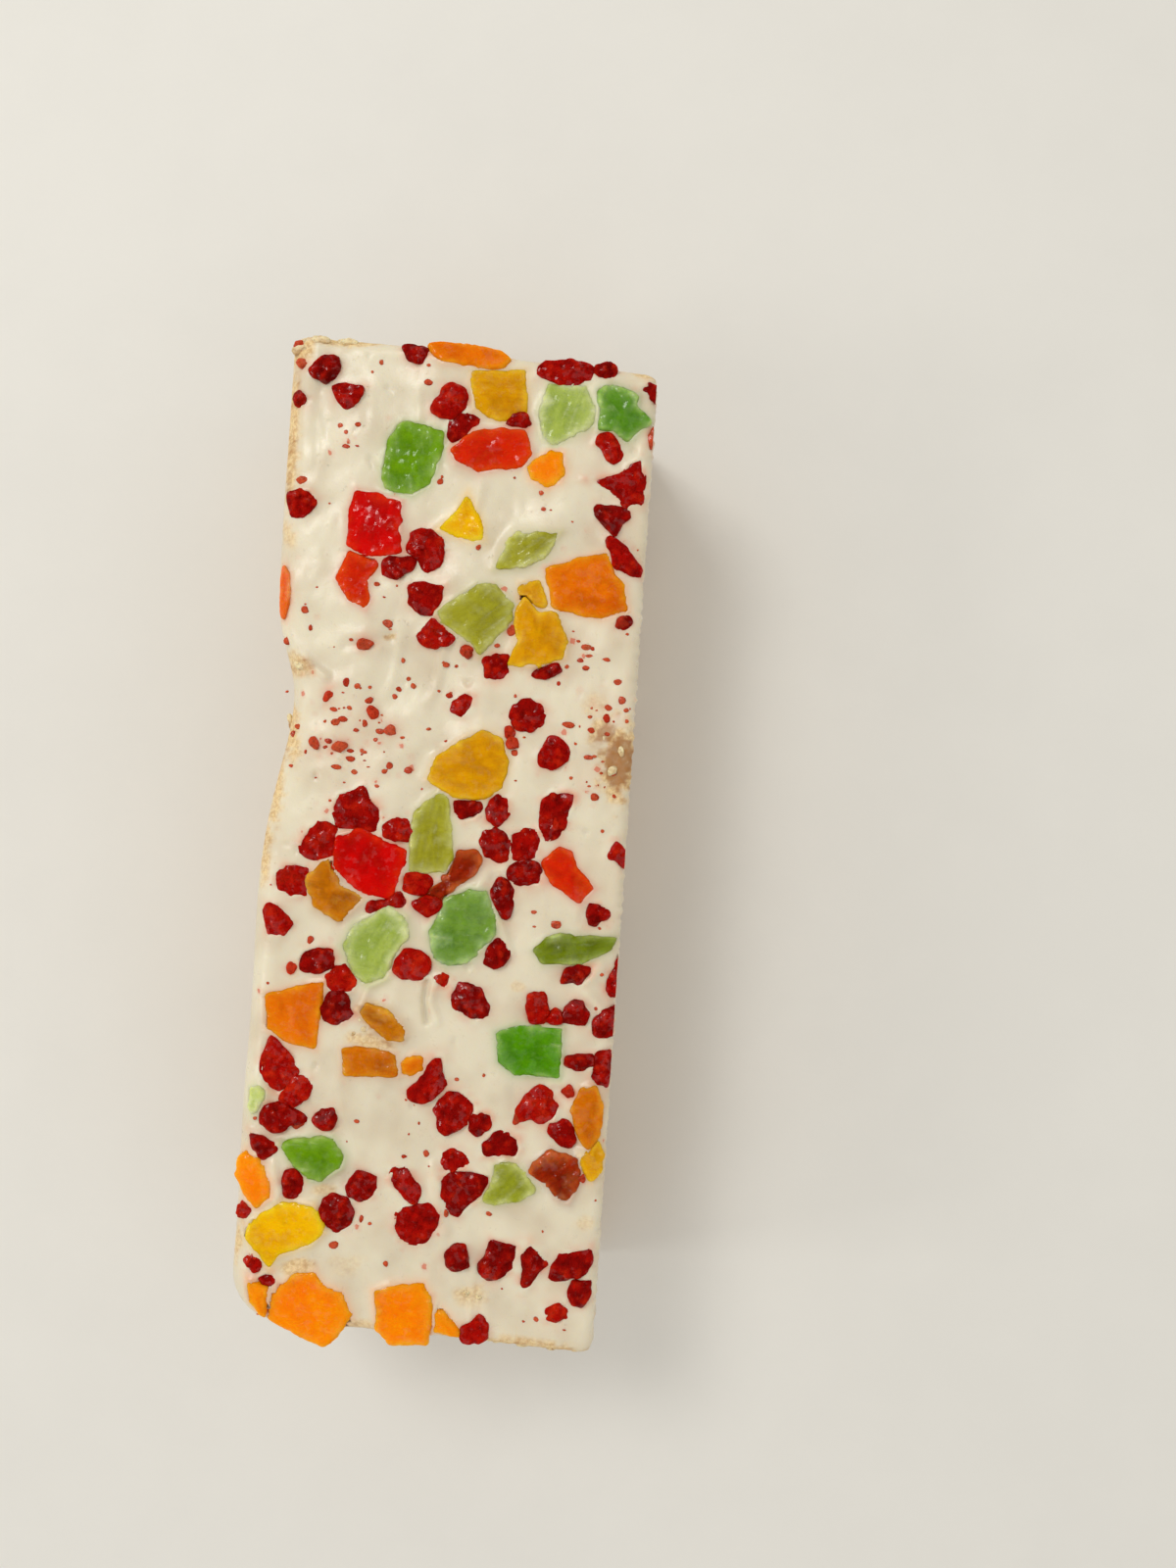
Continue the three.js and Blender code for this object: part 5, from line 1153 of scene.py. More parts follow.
def trimmed_reach(index, angle):
    """A piece's reach along angles, drawn in by halving steps where it would run under a piece above it."""
    corners = corner_rows(FRUIT[index][3:])
    middle = outline_middle(corners)
    points = corners - middle
    size = np.hypot(*points.T).mean()
    reach = outline_reach(points, angle, max(1, round(4.5 / size))) + FRUIT_SWELL
    ray = np.stack([np.cos(angle), np.sin(angle)], axis=-1)
    reach += 0.07 * wave_field(reach[:, None] * ray + 9 * index, 1.6, 21, 3)
    share = np.ones(len(angle))
    for upper in range(index):
        other = corner_rows(FRUIT[upper][3:])
        if np.hypot(*(outline_middle(other) - middle)) > 2.2 * size + np.ptp(other, axis=0).max():
            continue
        low, high = np.zeros(len(angle)), np.ones(len(angle))
        for _ in range(12):
            half = (low + high) / 2
            spot = middle + ray * (reach * half)[:, None]
            free = outline_distance(other, spot[:, 0], spot[:, 1]) > 0.05
            low, high = np.where(free, half, low), np.where(free, high, half)
        share = np.minimum(share, high)
    return reach * share


FRUIT_AROUND = 128
FRUIT_SWELL = 0.08
TOP_RINGS = 18
EDGE_RINGS = 6
WALL_RINGS = 4
BASE_RINGS = 3
WALL_LEAN = 0.25


def fruit_profile(depth, edge):
    """Rings from the top middle to the base middle: share of the outline, inset from it and drop, in mm.

    Even rings over the top, a quarter circle at the edge, a wall that leans in a little, and the base.
    """
    inner = np.linspace(0, 1, TOP_RINGS + 1)[1:] ** 0.85
    arc = np.linspace(0, np.pi / 2, EDGE_RINGS + 1)[1:]
    wall = np.linspace(0, 1, WALL_RINGS + 1)[1:]
    base = np.linspace(1, 0, BASE_RINGS + 1)[1:-1]
    share = np.concatenate([inner, np.ones(EDGE_RINGS + WALL_RINGS), base])
    inset = np.concatenate([np.full(TOP_RINGS, edge), edge * (1 - np.sin(arc)), WALL_LEAN * wall,
                            np.full(len(base), WALL_LEAN)])
    drop = np.concatenate([np.zeros(TOP_RINGS), edge * (1 - np.cos(arc)), edge + (depth - edge) * wall,
                           np.full(len(base), depth)])
    return share, inset, drop


def along_grain(points, degrees, stretch):
    """Points turned so that a piece's fibres run along x, and squeezed there by the stretch."""
    x, y = turned(points[..., 0], points[..., 1], degrees)
    return np.stack([x / stretch, y, points[..., 2]], axis=-1)


def candied_form(index, depth, softness):
    """A piece's points round its own middle and their gaps to its rim.

    Rings of its outline are drawn in by the profile. Its top gets a low crown, lumps and fibres.
    """
    finish, grain = FRUIT[index][1:3]
    item = index + 1
    edge, crown, relief, fibre = FINISHES[finish][4:]
    angle = np.linspace(0, 2 * np.pi, FRUIT_AROUND, endpoint=False)
    reach = np.maximum(trimmed_reach(index, angle), 0.25)
    edge = min(edge * softness, 0.4 * np.median(reach), 0.6 * depth)
    share, inset, drop = fruit_profile(depth, edge)
    radius = share[:, None] * np.maximum(reach[None] - inset[:, None], 0.1)
    flat = radius[..., None] * np.stack([np.cos(angle), np.sin(angle)], axis=-1)[None]
    seat = np.concatenate([flat, np.full(flat.shape[:2] + (1,), 5.0 * item)], axis=-1)
    streak = wave_field(along_grain(seat, grain, 6), 0.8, 90 + item, 3)
    lumps = relief * wave_field(seat, 2.4, 40 + item, 3) + 0.05 * fibre * streak
    facing = np.cos(np.clip(drop[:, None] / max(edge, 0.1), 0, 1) * np.pi / 2)
    crowned = crown * (0.7 - (radius / reach.max()) ** 2)
    height = -drop[:, None] + (crowned + lumps) * np.maximum(facing, 0.0)
    side = 0.06 * wave_field(np.concatenate([flat, height[..., None]], -1) + 3 * item, 1.5, 60 + item, 2)
    flat = flat * (1 + (side * (1 - facing) / reach[None]))[..., None]
    rings = np.concatenate([flat, height[..., None]], axis=-1).reshape(-1, 3)
    local = np.concatenate([[(0, 0, height[0].mean())], rings, [(0, 0, -depth)]])
    gap = np.concatenate([[reach.mean()], (reach[None] - radius).ravel(), [1.0]])
    return local, gap, reach.max()


def candied_tones(index, local, gap, size):
    """A piece's tones and its sugar bloom with painted rim whitening: body to deep by clouds, fibres and a
    lean, then a clear rim with sugar, lighter and whiter towards the edge as a painted glow of light through
    it.
    """
    finish, grain = FRUIT[index][1:3]
    item = index + 1
    body, rim, deep, frost_and_rim_glow, *_, fibre = FINISHES[finish]
    cloud = wave_field(local + 7 * item, 2.4, 130 + item, 3)
    fibres = wave_field(along_grain(local + 3 * item, grain, 7), 0.9, 170 + item, 3)
    lean = 2 * np.pi * draw(item, 95)
    shaded = (local[:, 0] * math.cos(lean) + local[:, 1] * math.sin(lean)) / size
    share = 0.3 + 0.36 * cloud + 0.34 * shaded + 0.3 * fibre * fibres
    tint = blend_colours(linear(body), linear(deep), share)
    # The clear rim is a painted glow of light through the thin edge: the tint is lightened towards the edge
    # colour there, and whitened below.
    clear = np.exp(-((np.clip(gap, 0, 9) / 0.8) ** 1.5)) * smooth_step(-1.4, 0.8, cloud)
    tint = blend_colours(tint, linear(rim), 0.8 * clear + 0.3 * smooth_step(0.4, 1.6, cloud))
    # Whitening: sugar bloom along the fibres and clouds, plus the painted glow at the thin rim.
    white = 0.6 * smooth_step(0.3, 1.8, fibres + 0.4 * cloud) + 0.6 * clear
    return tint, np.clip(white, 0, 1) * frost_and_rim_glow


def candied_piece(index, sizes, materials):
    """One piece of candied fruit, tilted and placed where it lies in the marshmallow."""
    name = FRUIT[index][0]
    place, tilts, depth = fruit_place(index)
    local, gap, size = candied_form(index, depth, sizes.softness)
    tint, bloom_and_rim_glow = candied_tones(index, local, gap, size)
    faces = ball_faces((len(local) - 2) // FRUIT_AROUND, FRUIT_AROUND, 1)
    vertices = placed(tilted(local, tilts) + np.array(place))
    return make_object(name + "_candied", vertices, faces, materials[name.split("_")[0]],
                       {"tone": tint, "frost_and_rim_glow": bloom_and_rim_glow})


# ---------- crumbs, dust and loose bits


def angular(directions, item, sides, low, high, sharpness):
    """A soft-edged polyhedron's reach along directions: the power mean of cuts by drawn planes."""
    total = np.zeros(directions.shape[:-1])
    for side in range(sides):
        seed = np.stack([draw(item, 200 + 3 * side + k) - 0.5 for k in range(3)], axis=-1)
        normal = seed / np.linalg.norm(seed, axis=-1, keepdims=True)
        gap = between((low, high), draw(item, 260 + side))
        facing = np.clip(np.einsum("mnk,mk->mn", directions, normal), 0, None)
        total += (facing / gap[:, None]) ** sharpness
    return np.clip(np.maximum(total, 1e-6) ** (-1 / sharpness), 0.74, 1.16)


CRUMB_SWELL = 0.17
LUMP_RINGS = 24
LUMP_AROUND = 44
BIT_RINGS = 14
BIT_AROUND = 26
BIT_PEBBLE = 0.14


def lump_points(outlines, levels, heights, first_item, pebble, swollen, rings, around):
    """Many lumps at once: a flat-topped ball over each outline, cut angular, with drupelets raised on it.

    Level across is the outline's reach times the sine of the polar angle to a power, upright half the
    height times its cosine to a power. Drupelets are domes round strewn points with creases between.
    """
    item = np.arange(len(outlines)) + first_item
    angle = np.linspace(0, 2 * np.pi, around, endpoint=False)
    middles = np.array([outline_middle(corners) for corners in outlines])
    reach = swollen + np.stack([outline_reach(corners - middle, angle, 1)
                                for corners, middle in zip(outlines, middles)])
    pole = np.zeros((len(item), 1))
    plan = np.concatenate([pole, np.tile(reach, (1, rings)), pole], axis=1)
    directions = ball_directions(rings, around)
    level_share = np.maximum(np.linalg.norm(directions[:, :2], axis=1), 1e-6)
    upright = directions[:, 2]
    cut = angular(np.broadcast_to(directions, (len(item),) + directions.shape), item, 9, 0.8, 1.0, 9)
    wide = plan * level_share ** 0.66 * (1 - (1 - cut) * np.abs(upright))
    tall = np.asarray(heights)[:, None] / 2 * np.sign(upright) * np.abs(upright) ** 0.8 * cut
    local = np.concatenate([wide[..., None] * directions[:, :2] / level_share[:, None], tall[..., None]], -1)
    scale = np.minimum(1, reach.mean(axis=1, keepdims=True) / 0.8)
    spot = local + item[:, None, None] * 11.0
    gap, label = cell_field(spot, 0.9, 51)
    bump = pebble * ((0.62 - gap) * 1.9 * (0.5 + 0.9 * label) + 0.7 * wave_field(spot, 1.4, 52, 2))
    local = local + directions[None] * (0.55, 0.55, 1) * (np.clip(bump, -0.3, 0.3) * scale)[..., None]
    seat = np.column_stack([middles, levels])
    return local + seat[:, None], bump / pebble


# Crumb tones; the deep one also gives painted shade in creases and the light one painted highlight on tips.
CRUMB_BODY = linear((168, 6, 0))
CRUMB_DEEP = linear((112, 2, 0))
CRUMB_LIGHT = linear((212, 46, 14))
DUST_RED = linear((208, 92, 56))


def build_crumbs(name, outlines, first_item, sizes, material):
    """Berry crumbs, each sunk in the marshmallow as its solid is and kept inside the bar's side."""
    item = np.arange(len(outlines)) + first_item
    width = np.array([np.ptp(corners, axis=0).min() for corners in outlines])
    middle = np.array([outline_middle(corners) for corners in outlines])
    height = between(CRUMB_PROUD, draw(item, 40)) / (0.5 - CRUMB_SUNK) * np.minimum(1, 0.35 + width / 3)
    level = height_at(middle[:, 0], middle[:, 1]) - CRUMB_SUNK * height
    points, bump = lump_points(outlines, level, height, first_item, sizes.pebble / MM, CRUMB_SWELL,
                               LUMP_RINGS, LUMP_AROUND)
    points[..., 0] = np.clip(points[..., 0], LEFT_FACE + 0.1, RIGHT_FACE - 0.1)
    cloud = wave_field(points, 1.6, 53, 2)
    tip = smooth_step(0.3, 1.2, bump)
    own = draw(item, 44)[:, None]
    # Each crumb's own tone, darker in the creases between drupelets as painted shade.
    colour = blend_colours(CRUMB_BODY, CRUMB_DEEP, -0.05 + 0.9 * own - 0.3 * bump + 0.25 * cloud)
    # Lighter on the drupelets' tips as painted highlight, and some crumbs lighter by their own tone.
    light = tip * (0.25 + 0.2 * cloud) + 0.5 * smooth_step(0.6, 1.0, 1 - own) * smooth_step(-0.5, 1.0, cloud)
    colour = blend_colours(colour, CRUMB_LIGHT, light + 0.4 * smooth_step(1.4, 0.6, width)[:, None])
    colour = blend_colours(colour, DUST_RED, (0.25 + 0.6 * own) * smooth_step(1.5, 0.9, width)[:, None])
    faces = ball_faces(LUMP_RINGS, LUMP_AROUND, len(outlines))
    return make_object(name, placed(points), faces, material, {"tone": colour.reshape(-1, 3)})


DUST_TRIES = 3400
DUST_RINGS = 5
DUST_AROUND = 10
DUST_SIZE = (0.22, 0.85)
DUST_FLATNESS = 0.36
CLEAR_OF_OTHERS = 0.4


def build_dust(sizes, material):
    """Raised specks of berry: seeded places kept by the dust's share and clear of fruit and crumbs."""
    random = np.random.default_rng(71)
    x = random.uniform(LEFT_FACE + 0.7, RIGHT_FACE - 0.5, DUST_TRIES)
    y = random.uniform(LOW_END + 1, HIGH_END - 1, DUST_TRIES)
    size = between(DUST_SIZE, random.uniform(0, 1, DUST_TRIES) ** 2.0)
    lot = random.uniform(0, 1, DUST_TRIES)
    height, facts = mallow_top(x, y - END_SLANT * x, sizes)
    near = np.minimum(facts["fruit_near"], facts["crumb_near"])
    keep = (lot < dust_share(x, y) * 1.1) & (near > CLEAR_OF_OTHERS)
    x, y, size, height = x[keep], y[keep], size[keep], height[keep]
    item = np.arange(len(x)) + SPECK_ITEMS
    directions = ball_directions(DUST_RINGS, DUST_AROUND)
    cut = angular(np.broadcast_to(directions, (len(x),) + directions.shape), item, 6, 0.7, 1.0, 7)
    ball = directions[None] * cut[..., None] * (size / 2)[:, None, None]
    length, width = between((0.7, 1.6), draw(item, 3)), between((0.7, 1.2), draw(item, 4))
    ball = ball * np.stack([length, width, np.full(len(x), DUST_FLATNESS)], -1)[:, None]
    points = ball + np.stack([x, y, height], axis=-1)[:, None]
    tone = blend_colours(DUST_RED, CRUMB_BODY, (0.6 * draw(item, 6) ** 3 + 0.2 * (size > 0.55))[:, None])
    colour = np.broadcast_to(tone, points.shape)
    faces = ball_faces(DUST_RINGS, DUST_AROUND, len(x))
    return make_object("berry_dust", placed(points), faces, material, {"tone": colour.reshape(-1, 3)})


TORN_FOAM = linear((238, 218, 170))
TORN_BROWN = linear((182, 126, 62))


def build_bits(material):
    """Lumps of torn foam and dough, placed on the marshmallow's height."""
    outlines = [ellipse_corners(row, index + BIT_ITEMS) for index, row in enumerate(LOOSE_BITS)]
    level = height_at(LOOSE_BITS[:, 0], LOOSE_BITS[:, 1]) + LOOSE_BITS[:, 6]
    points, bump = lump_points(outlines, level, LOOSE_BITS[:, 5], BIT_ITEMS, BIT_PEBBLE, 0,
                               BIT_RINGS, BIT_AROUND)
    cloud = wave_field(points, 1.8, 81, 3)
    colour = blend_colours(TORN_FOAM, TORN_BROWN, 0.24 - 0.35 * bump + 0.3 * cloud)
    faces = ball_faces(BIT_RINGS, BIT_AROUND, len(LOOSE_BITS))
    return make_object("torn_bits", placed(points), faces, material, {
        "tone": colour.reshape(-1, 3), "cut": np.full(colour.size // 3, 0.6)})


# ---------- materials

# Tones of the dough on a screen, in dark spots of its skin, as painted shade in pores and where the foam is
# thin.
FRIED_SPOT = (150, 92, 36)
PORE_SHADE = (178, 122, 58)
FOAM_PALE = (250, 238, 204)
# Tones of a crumb on a screen: painted shade in its hollows and pits, painted highlight on its bumps.
BERRY_HOLLOW = (92, 4, 0)
BERRY_BRIGHT = (216, 58, 30)
FLOOR_DIM = 0.975

class Nodes:
    """Short calls that add nodes to one tree and join them."""

    def __init__(self, tree):
        self.tree = tree

    def fill(self, sockets, values):
        """Each named socket gets its value, or a link where the value is a socket."""
        for key, value in values.items():
            if isinstance(value, bpy.types.NodeSocket):
                self.tree.links.new(value, sockets[key])
            else:
                sockets[key].default_value = value

    def add(self, kind, values=None, **settings):
        """One node with its settings and the values of its inputs."""
        node = self.tree.nodes.new("ShaderNode" + kind)
        for key, value in settings.items():
            setattr(node, key, value)
        self.fill(node.inputs, values or {})
        return node

    def maths(self, operation, first, second, clamp=False):
        """The result of one sum, held between 0 and 1 on request."""
        return self.add("Math", {0: first, 1: second}, operation=operation, use_clamp=clamp).outputs[0]

    def times(self, first, second, clamp=False):
        """First times second."""
        return self.maths("MULTIPLY", first, second, clamp)

    def plus(self, first, second):
        """First plus second."""
        return self.maths("ADD", first, second)

    def less(self, first, second, clamp=False):
        """First less second."""
        return self.maths("SUBTRACT", first, second, clamp)

    def step(self, value, low, high, to_low=0.0, to_high=1.0):
        """A soft step from one level at low to another at high."""
        values = {"Value": value, "From Min": low, "From Max": high, "To Min": to_low, "To Max": to_high}
        return self.add("MapRange", values, interpolation_type="SMOOTHSTEP").outputs[0]

    def mix(self, share, first, second):
        """The first colour turned by a share into the second."""
        return self.add("Mix", {0: share, 6: first, 7: second}, data_type="RGBA").outputs[2]

    def noise(self, place, scale, detail, roughness=0.55):
        """Soft noise round one half, scale cells to the millimetre."""
        values = {"Vector": place, "Scale": scale, "Detail": detail, "Roughness": roughness}
        return self.add("TexNoise", values).outputs[0]

    def attribute(self, name, output="Color"):
        """What the mesh says at its points: a colour, or a number with the output Fac."""
        return self.add("Attribute", attribute_name=name).outputs[output]

    def millimetres(self):
        """The object's own coordinates, counted in millimetres."""
        place = self.add("TexCoord").outputs["Object"]
        return self.add("Mapping", {"Vector": place, "Scale": (1 / MM,) * 3}).outputs[0]

    def bump(self, height, strength, distance):
        """The normal that a height between 0 and 1 gives, a distance in metres high."""
        return self.add("Bump", {"Height": height, "Strength": strength, "Distance": distance}).outputs[0]

    def group(self, name, place, **values):
        """One placed copy of a node group, built when it is first asked for."""
        node = self.add("Group")
        node.node_tree = bpy.data.node_groups.get(name) or GROUPS[name]()
        self.fill(node.inputs, {"Place": place} | values)
        return node.outputs


def shader_group(name, inputs, outputs):
    """A node group that takes a place and numbers, and puts out numbers: its Nodes and its two ends."""
    tree = bpy.data.node_groups.new(name, "ShaderNodeTree")
    tree.interface.new_socket("Place", in_out="INPUT", socket_type="NodeSocketVector")
    for label, value in inputs.items():
        socket = tree.interface.new_socket(label, in_out="INPUT", socket_type="NodeSocketFloat")
        socket.default_value = value
    for label in outputs:
        tree.interface.new_socket(label, in_out="OUTPUT", socket_type="NodeSocketFloat")
    source = tree.nodes.new("NodeGroupInput")
    sink = tree.nodes.new("NodeGroupOutput")
    return Nodes(tree), source.outputs, sink.inputs


def berry_dust_group():
    """Specks in some of the cells of a Voronoi pattern, as many as the share says, with a soft halo."""
    nodes, given, ends = shader_group("berry_dust_specks", {"Size": 1.0, "Share": 0.1}, ("Mask", "Halo"))
    wobble = nodes.add("TexNoise", {"Vector": given["Place"], "Scale": 2.6, "Detail": 3.0}).outputs["Color"]
    bent = nodes.add("MixRGB", {"Fac": 0.45, "Color1": given["Place"], "Color2": wobble}, blend_type="ADD")
    cells = nodes.add("TexVoronoi", {"Vector": bent.outputs[0], "Scale": given["Size"]}).outputs
    parts = nodes.add("SeparateColor", {"Color": cells["Color"]}).outputs
    radius = nodes.step(parts[1], 0.3, 1.0, 0.06, 0.3)
    there = nodes.step(nodes.less(given["Share"], parts[0]), 0.0, 0.02)
    near = nodes.less(radius, cells["Distance"])
    nodes.fill(ends, {"Mask": nodes.times(nodes.step(near, -0.01, 0.05), there),
                      "Halo": nodes.times(nodes.step(near, -0.4, 0.0), there)})
    return nodes.tree


def fine_grain_group():
    """Soft noise and a finer one over it, as a value round one half."""
    nodes, given, ends = shader_group("fine_grain", {"Size": 1.0}, ("Value",))
    coarse = nodes.noise(given["Place"], given["Size"], 4.0)
    fine = nodes.noise(given["Place"], nodes.times(given["Size"], 5.3), 3.0, 0.6)
    nodes.fill(ends, {"Value": nodes.plus(nodes.times(coarse, 0.65), nodes.times(fine, 0.35))})
    return nodes.tree


def foam_pores_group():
    """Round pores of two sizes: how far inside a cell's middle a place is."""
    nodes, given, ends = shader_group("foam_pores", {"Size": 1.0}, ("Mask",))
    masks = []
    for scale, rim, middle in ((1.0, 0.42, 0.12), (2.6, 0.4, 0.14)):
        size = nodes.times(given["Size"], scale)
        cells = nodes.add("TexVoronoi", {"Vector": given["Place"], "Scale": size}).outputs
        masks.append(nodes.step(cells["Distance"], middle, rim, 1.0, 0.0))
    nodes.fill(ends, {"Mask": nodes.maths("MAXIMUM", masks[0], nodes.times(masks[1], 0.6))})
    return nodes.tree


def sugar_frost_group():
    """Whitish sugar bloom in streaky clouds, as much as the cover says, which on candied fruit also brings
    the painted whitening of the glowing rim, and its grain as a height.
    """
    nodes, given, ends = shader_group("sugar_frost", {"Cover": 0.3}, ("Mask", "Height"))
    lie = {"Vector": given["Place"], "Rotation": (0.2, 0.1, 0.7), "Scale": (0.5, 1.5, 1.0)}
    streaks = nodes.add("Mapping", lie).outputs[0]
    cloud = nodes.step(nodes.noise(streaks, 1.3, 5.0, 0.62), 0.38, 0.72)
    grain = nodes.noise(given["Place"], 7.0, 3.0, 0.6)
    cover = nodes.times(given["Cover"], nodes.plus(nodes.times(cloud, 1.1), 0.35))
    nodes.fill(ends, {"Mask": nodes.times(cover, nodes.step(grain, 0.25, 0.65, 0.6, 1.0), clamp=True),
                      "Height": nodes.plus(nodes.times(cloud, 0.5), nodes.times(grain, 0.5))})
    return nodes.tree


def wet_spots_group():
    """Small wet spots: where a fine noise and a wider one are both high."""
    nodes, given, ends = shader_group("wet_spots", {"Size": 1.0, "Share": 0.3}, ("Mask",))
    fine = nodes.noise(given["Place"], given["Size"], 2.0, 0.5)
    wide = nodes.noise(given["Place"], nodes.times(given["Size"], 0.27), 1.0, 0.5)
    both = nodes.plus(nodes.times(fine, 0.6), nodes.times(wide, 0.4))
    level = nodes.plus(nodes.times(given["Share"], -0.35), 0.63)
    nodes.fill(ends, {"Mask": nodes.step(nodes.less(both, level), 0.0, 0.06)})
    return nodes.tree


GROUPS = {
    "berry_dust_specks": berry_dust_group, "fine_grain": fine_grain_group, "foam_pores": foam_pores_group,
    "sugar_frost": sugar_frost_group, "wet_spots": wet_spots_group,
}


def new_material(name):
    """A material, the Nodes of its empty tree, its own coordinates and its Principled BSDF's inputs."""
    material = bpy.data.materials.new(name)
    material.use_nodes = True
    material.node_tree.nodes.clear()
    nodes = Nodes(material.node_tree)
    shader = nodes.add("BsdfPrincipled")
    nodes.add("OutputMaterial", {"Surface": shader.outputs[0]})
    return material, nodes, nodes.millimetres(), shader.inputs


def opaque(colour):
    """A colour with full cover."""
    return tuple(colour) + (1.0,)


def marshmallow_material(colours):
    """Satin cream: the mesh's tones, red dust with halos, pinholes darkened with painted shade, and grain
    where it is worn thin.
    """
    material, nodes, place, shader = new_material("marshmallow_cream")
    bare = nodes.attribute("bare", "Fac")
    dust = nodes.group("berry_dust_specks", place, Size=0.85, Share=nodes.attribute("dust", "Fac"))
    grain = nodes.group("fine_grain", place, Size=0.9)["Value"]
    worn = nodes.group("fine_grain", place, Size=2.6)["Value"]
    pores = nodes.group("foam_pores", place, Size=1.9)["Mask"]
    hole = nodes.times(pores, nodes.step(grain, 0.56, 0.68))
    thin = nodes.times(bare, nodes.step(worn, 0.4, 0.62))
    colour = nodes.attribute("tone")
    # The pinholes take some of the thin cream colour as painted shade in them.
    for cover, share, tint in ((dust["Halo"], 0.2, colours.blush), (dust["Mask"], 0.75, colours.dust),
                               (thin, 0.55, colours.bare), (hole, 0.22, colours.cream_shade)):
        colour = nodes.mix(nodes.times(cover, share), colour, opaque(tint))
    height = nodes.less(nodes.times(grain, 0.6), nodes.times(hole, 0.7))
    height = nodes.plus(height, nodes.times(bare, worn))
    height = nodes.plus(height, nodes.times(dust["Mask"], 0.35))
    nodes.fill(shader, {
        "Base Color": colour, "Normal": nodes.bump(height, 0.55, 0.00016),
        "Roughness": nodes.plus(nodes.step(grain, 0.35, 0.65, 0.27, 0.42), nodes.times(bare, 0.3)),
        "Subsurface Weight": 0.3, "Subsurface Radius": (1.0, 0.72, 0.4), "Subsurface Scale": 0.0011})
    return material


def dough_material():
    """Fried dough: golden blistered skin under a thin gloss, and matt pale foam with pores where cut,
    darkened with painted shade.
    """
    material, nodes, place, shader = new_material("fried_dough")
    cut = nodes.attribute("cut", "Fac")
    tone = nodes.attribute("tone")
    pores = nodes.group("foam_pores", place, Size=1.15)["Mask"]
    grain = nodes.group("fine_grain", place, Size=1.6)["Value"]
    skin = nodes.less(1.0, cut, clamp=True)
    dark, shade, pale = (nodes.mix(share, tone, opaque(linear(tint))) for share, tint in (
        (0.5, FRIED_SPOT), (0.62, PORE_SHADE), (0.45, FOAM_PALE)))
    colour = nodes.mix(nodes.times(nodes.step(grain, 0.5, 0.68), skin), tone, dark)
    # Pores in the cut foam get painted shade.
    colour = nodes.mix(nodes.times(pores, nodes.step(cut, 0.0, 1.0, 0.12, 0.85)), colour, shade)
    colour = nodes.mix(nodes.times(nodes.step(grain, 0.48, 0.34), 0.7), colour, pale)
    deep = nodes.times(pores, nodes.step(cut, 0.0, 1.0, 0.15, 1.0))
    nodes.fill(shader, {
        "Base Color": colour, "Normal": nodes.bump(nodes.less(grain, deep), 0.75, 0.00035),
        "Roughness": nodes.step(cut, 0.0, 1.0, 0.42, 0.8),
        "Coat Weight": nodes.times(skin, 0.3), "Coat Roughness": 0.22,
        "Subsurface Weight": 0.16, "Subsurface Radius": (1.0, 0.6, 0.25), "Subsurface Scale": 0.0012})
    return material


def candied_material(name, frost_colour, radius, wetness):
    """Candied fruit: the mesh's tones under sugar bloom and the painted whitening of the glowing rim,
    translucent, with clear glaze and fine wrinkles.
    """
    material, nodes, place, shader = new_material("candied_" + name)
    bloom_and_rim_glow = nodes.group("sugar_frost", place, Cover=nodes.attribute("frost_and_rim_glow", "Fac"))
    grain = nodes.group("fine_grain", place, Size=0.6)["Value"]
    wet = nodes.group("wet_spots", place, Size=1.5, Share=wetness)["Mask"]
    tone = nodes.attribute("tone")
    rich = nodes.add("HueSaturation", {"Saturation": 1.06, "Value": 0.72, "Color": tone}).outputs[0]
    colour = nodes.mix(nodes.step(grain, 0.5, 0.7, 0.0, 0.5), tone, rich)
    colour = nodes.mix(bloom_and_rim_glow["Mask"], colour, opaque(linear(frost_colour)))
    rough = nodes.step(grain, 0.35, 0.65, 0.3, 0.46)
    height = nodes.plus(nodes.times(grain, 0.8), nodes.times(bloom_and_rim_glow["Height"], 0.5))
    nodes.fill(shader, {
        "Base Color": colour, "Normal": nodes.bump(height, 0.45, 0.0004), "Specular IOR Level": 0.03,
        "Roughness": nodes.plus(rough, nodes.times(bloom_and_rim_glow["Mask"], 0.25)),
        "Coat Weight": nodes.times(wet, 0.55), "Coat Roughness": 0.15,
        "Subsurface Weight": 0.6, "Subsurface Radius": radius, "Subsurface Scale": 0.0016})
    return material


def crumb_material():
    """Dried berry: dark red pebbles with painted shade in their hollows and pits and painted highlight on
    their tops, wet glints on them and a grain of seeds' size.
    """
    material, nodes, place, shader = new_material("dried_berry")
    grain = nodes.group("fine_grain", place, Size=1.8)["Value"]
    pores = nodes.group("foam_pores", place, Size=2.1)["Mask"]
    wet = nodes.group("wet_spots", place, Size=1.7, Share=0.3)["Mask"]
    tone = nodes.attribute("tone")
    dark = nodes.mix(0.5, tone, opaque(linear(BERRY_HOLLOW)))
    bright = nodes.mix(0.4, tone, opaque(linear(BERRY_BRIGHT)))
    # Low grain is darkened as painted shade, high grain lightened as painted highlight, and pores darkened as
    # painted shade.
    colour = nodes.mix(nodes.step(grain, 0.48, 0.36), tone, dark)
    colour = nodes.mix(nodes.times(nodes.step(grain, 0.56, 0.68), 0.7), colour, bright)
    height = nodes.less(grain, nodes.times(pores, 0.4))
    nodes.fill(shader, {
        "Base Color": nodes.mix(nodes.times(pores, 0.3), colour, dark),
        "Normal": nodes.bump(height, 0.8, 0.0003), "Specular IOR Level": 0.03,
        "Roughness": nodes.step(grain, 0.38, 0.6, 0.34, 0.56),
        "Coat Weight": nodes.times(wet, 0.5), "Coat Roughness": 0.14,
        "Subsurface Weight": 0.25, "Subsurface Radius": (1.0, 0.08, 0.03), "Subsurface Scale": 0.0005})
    return material


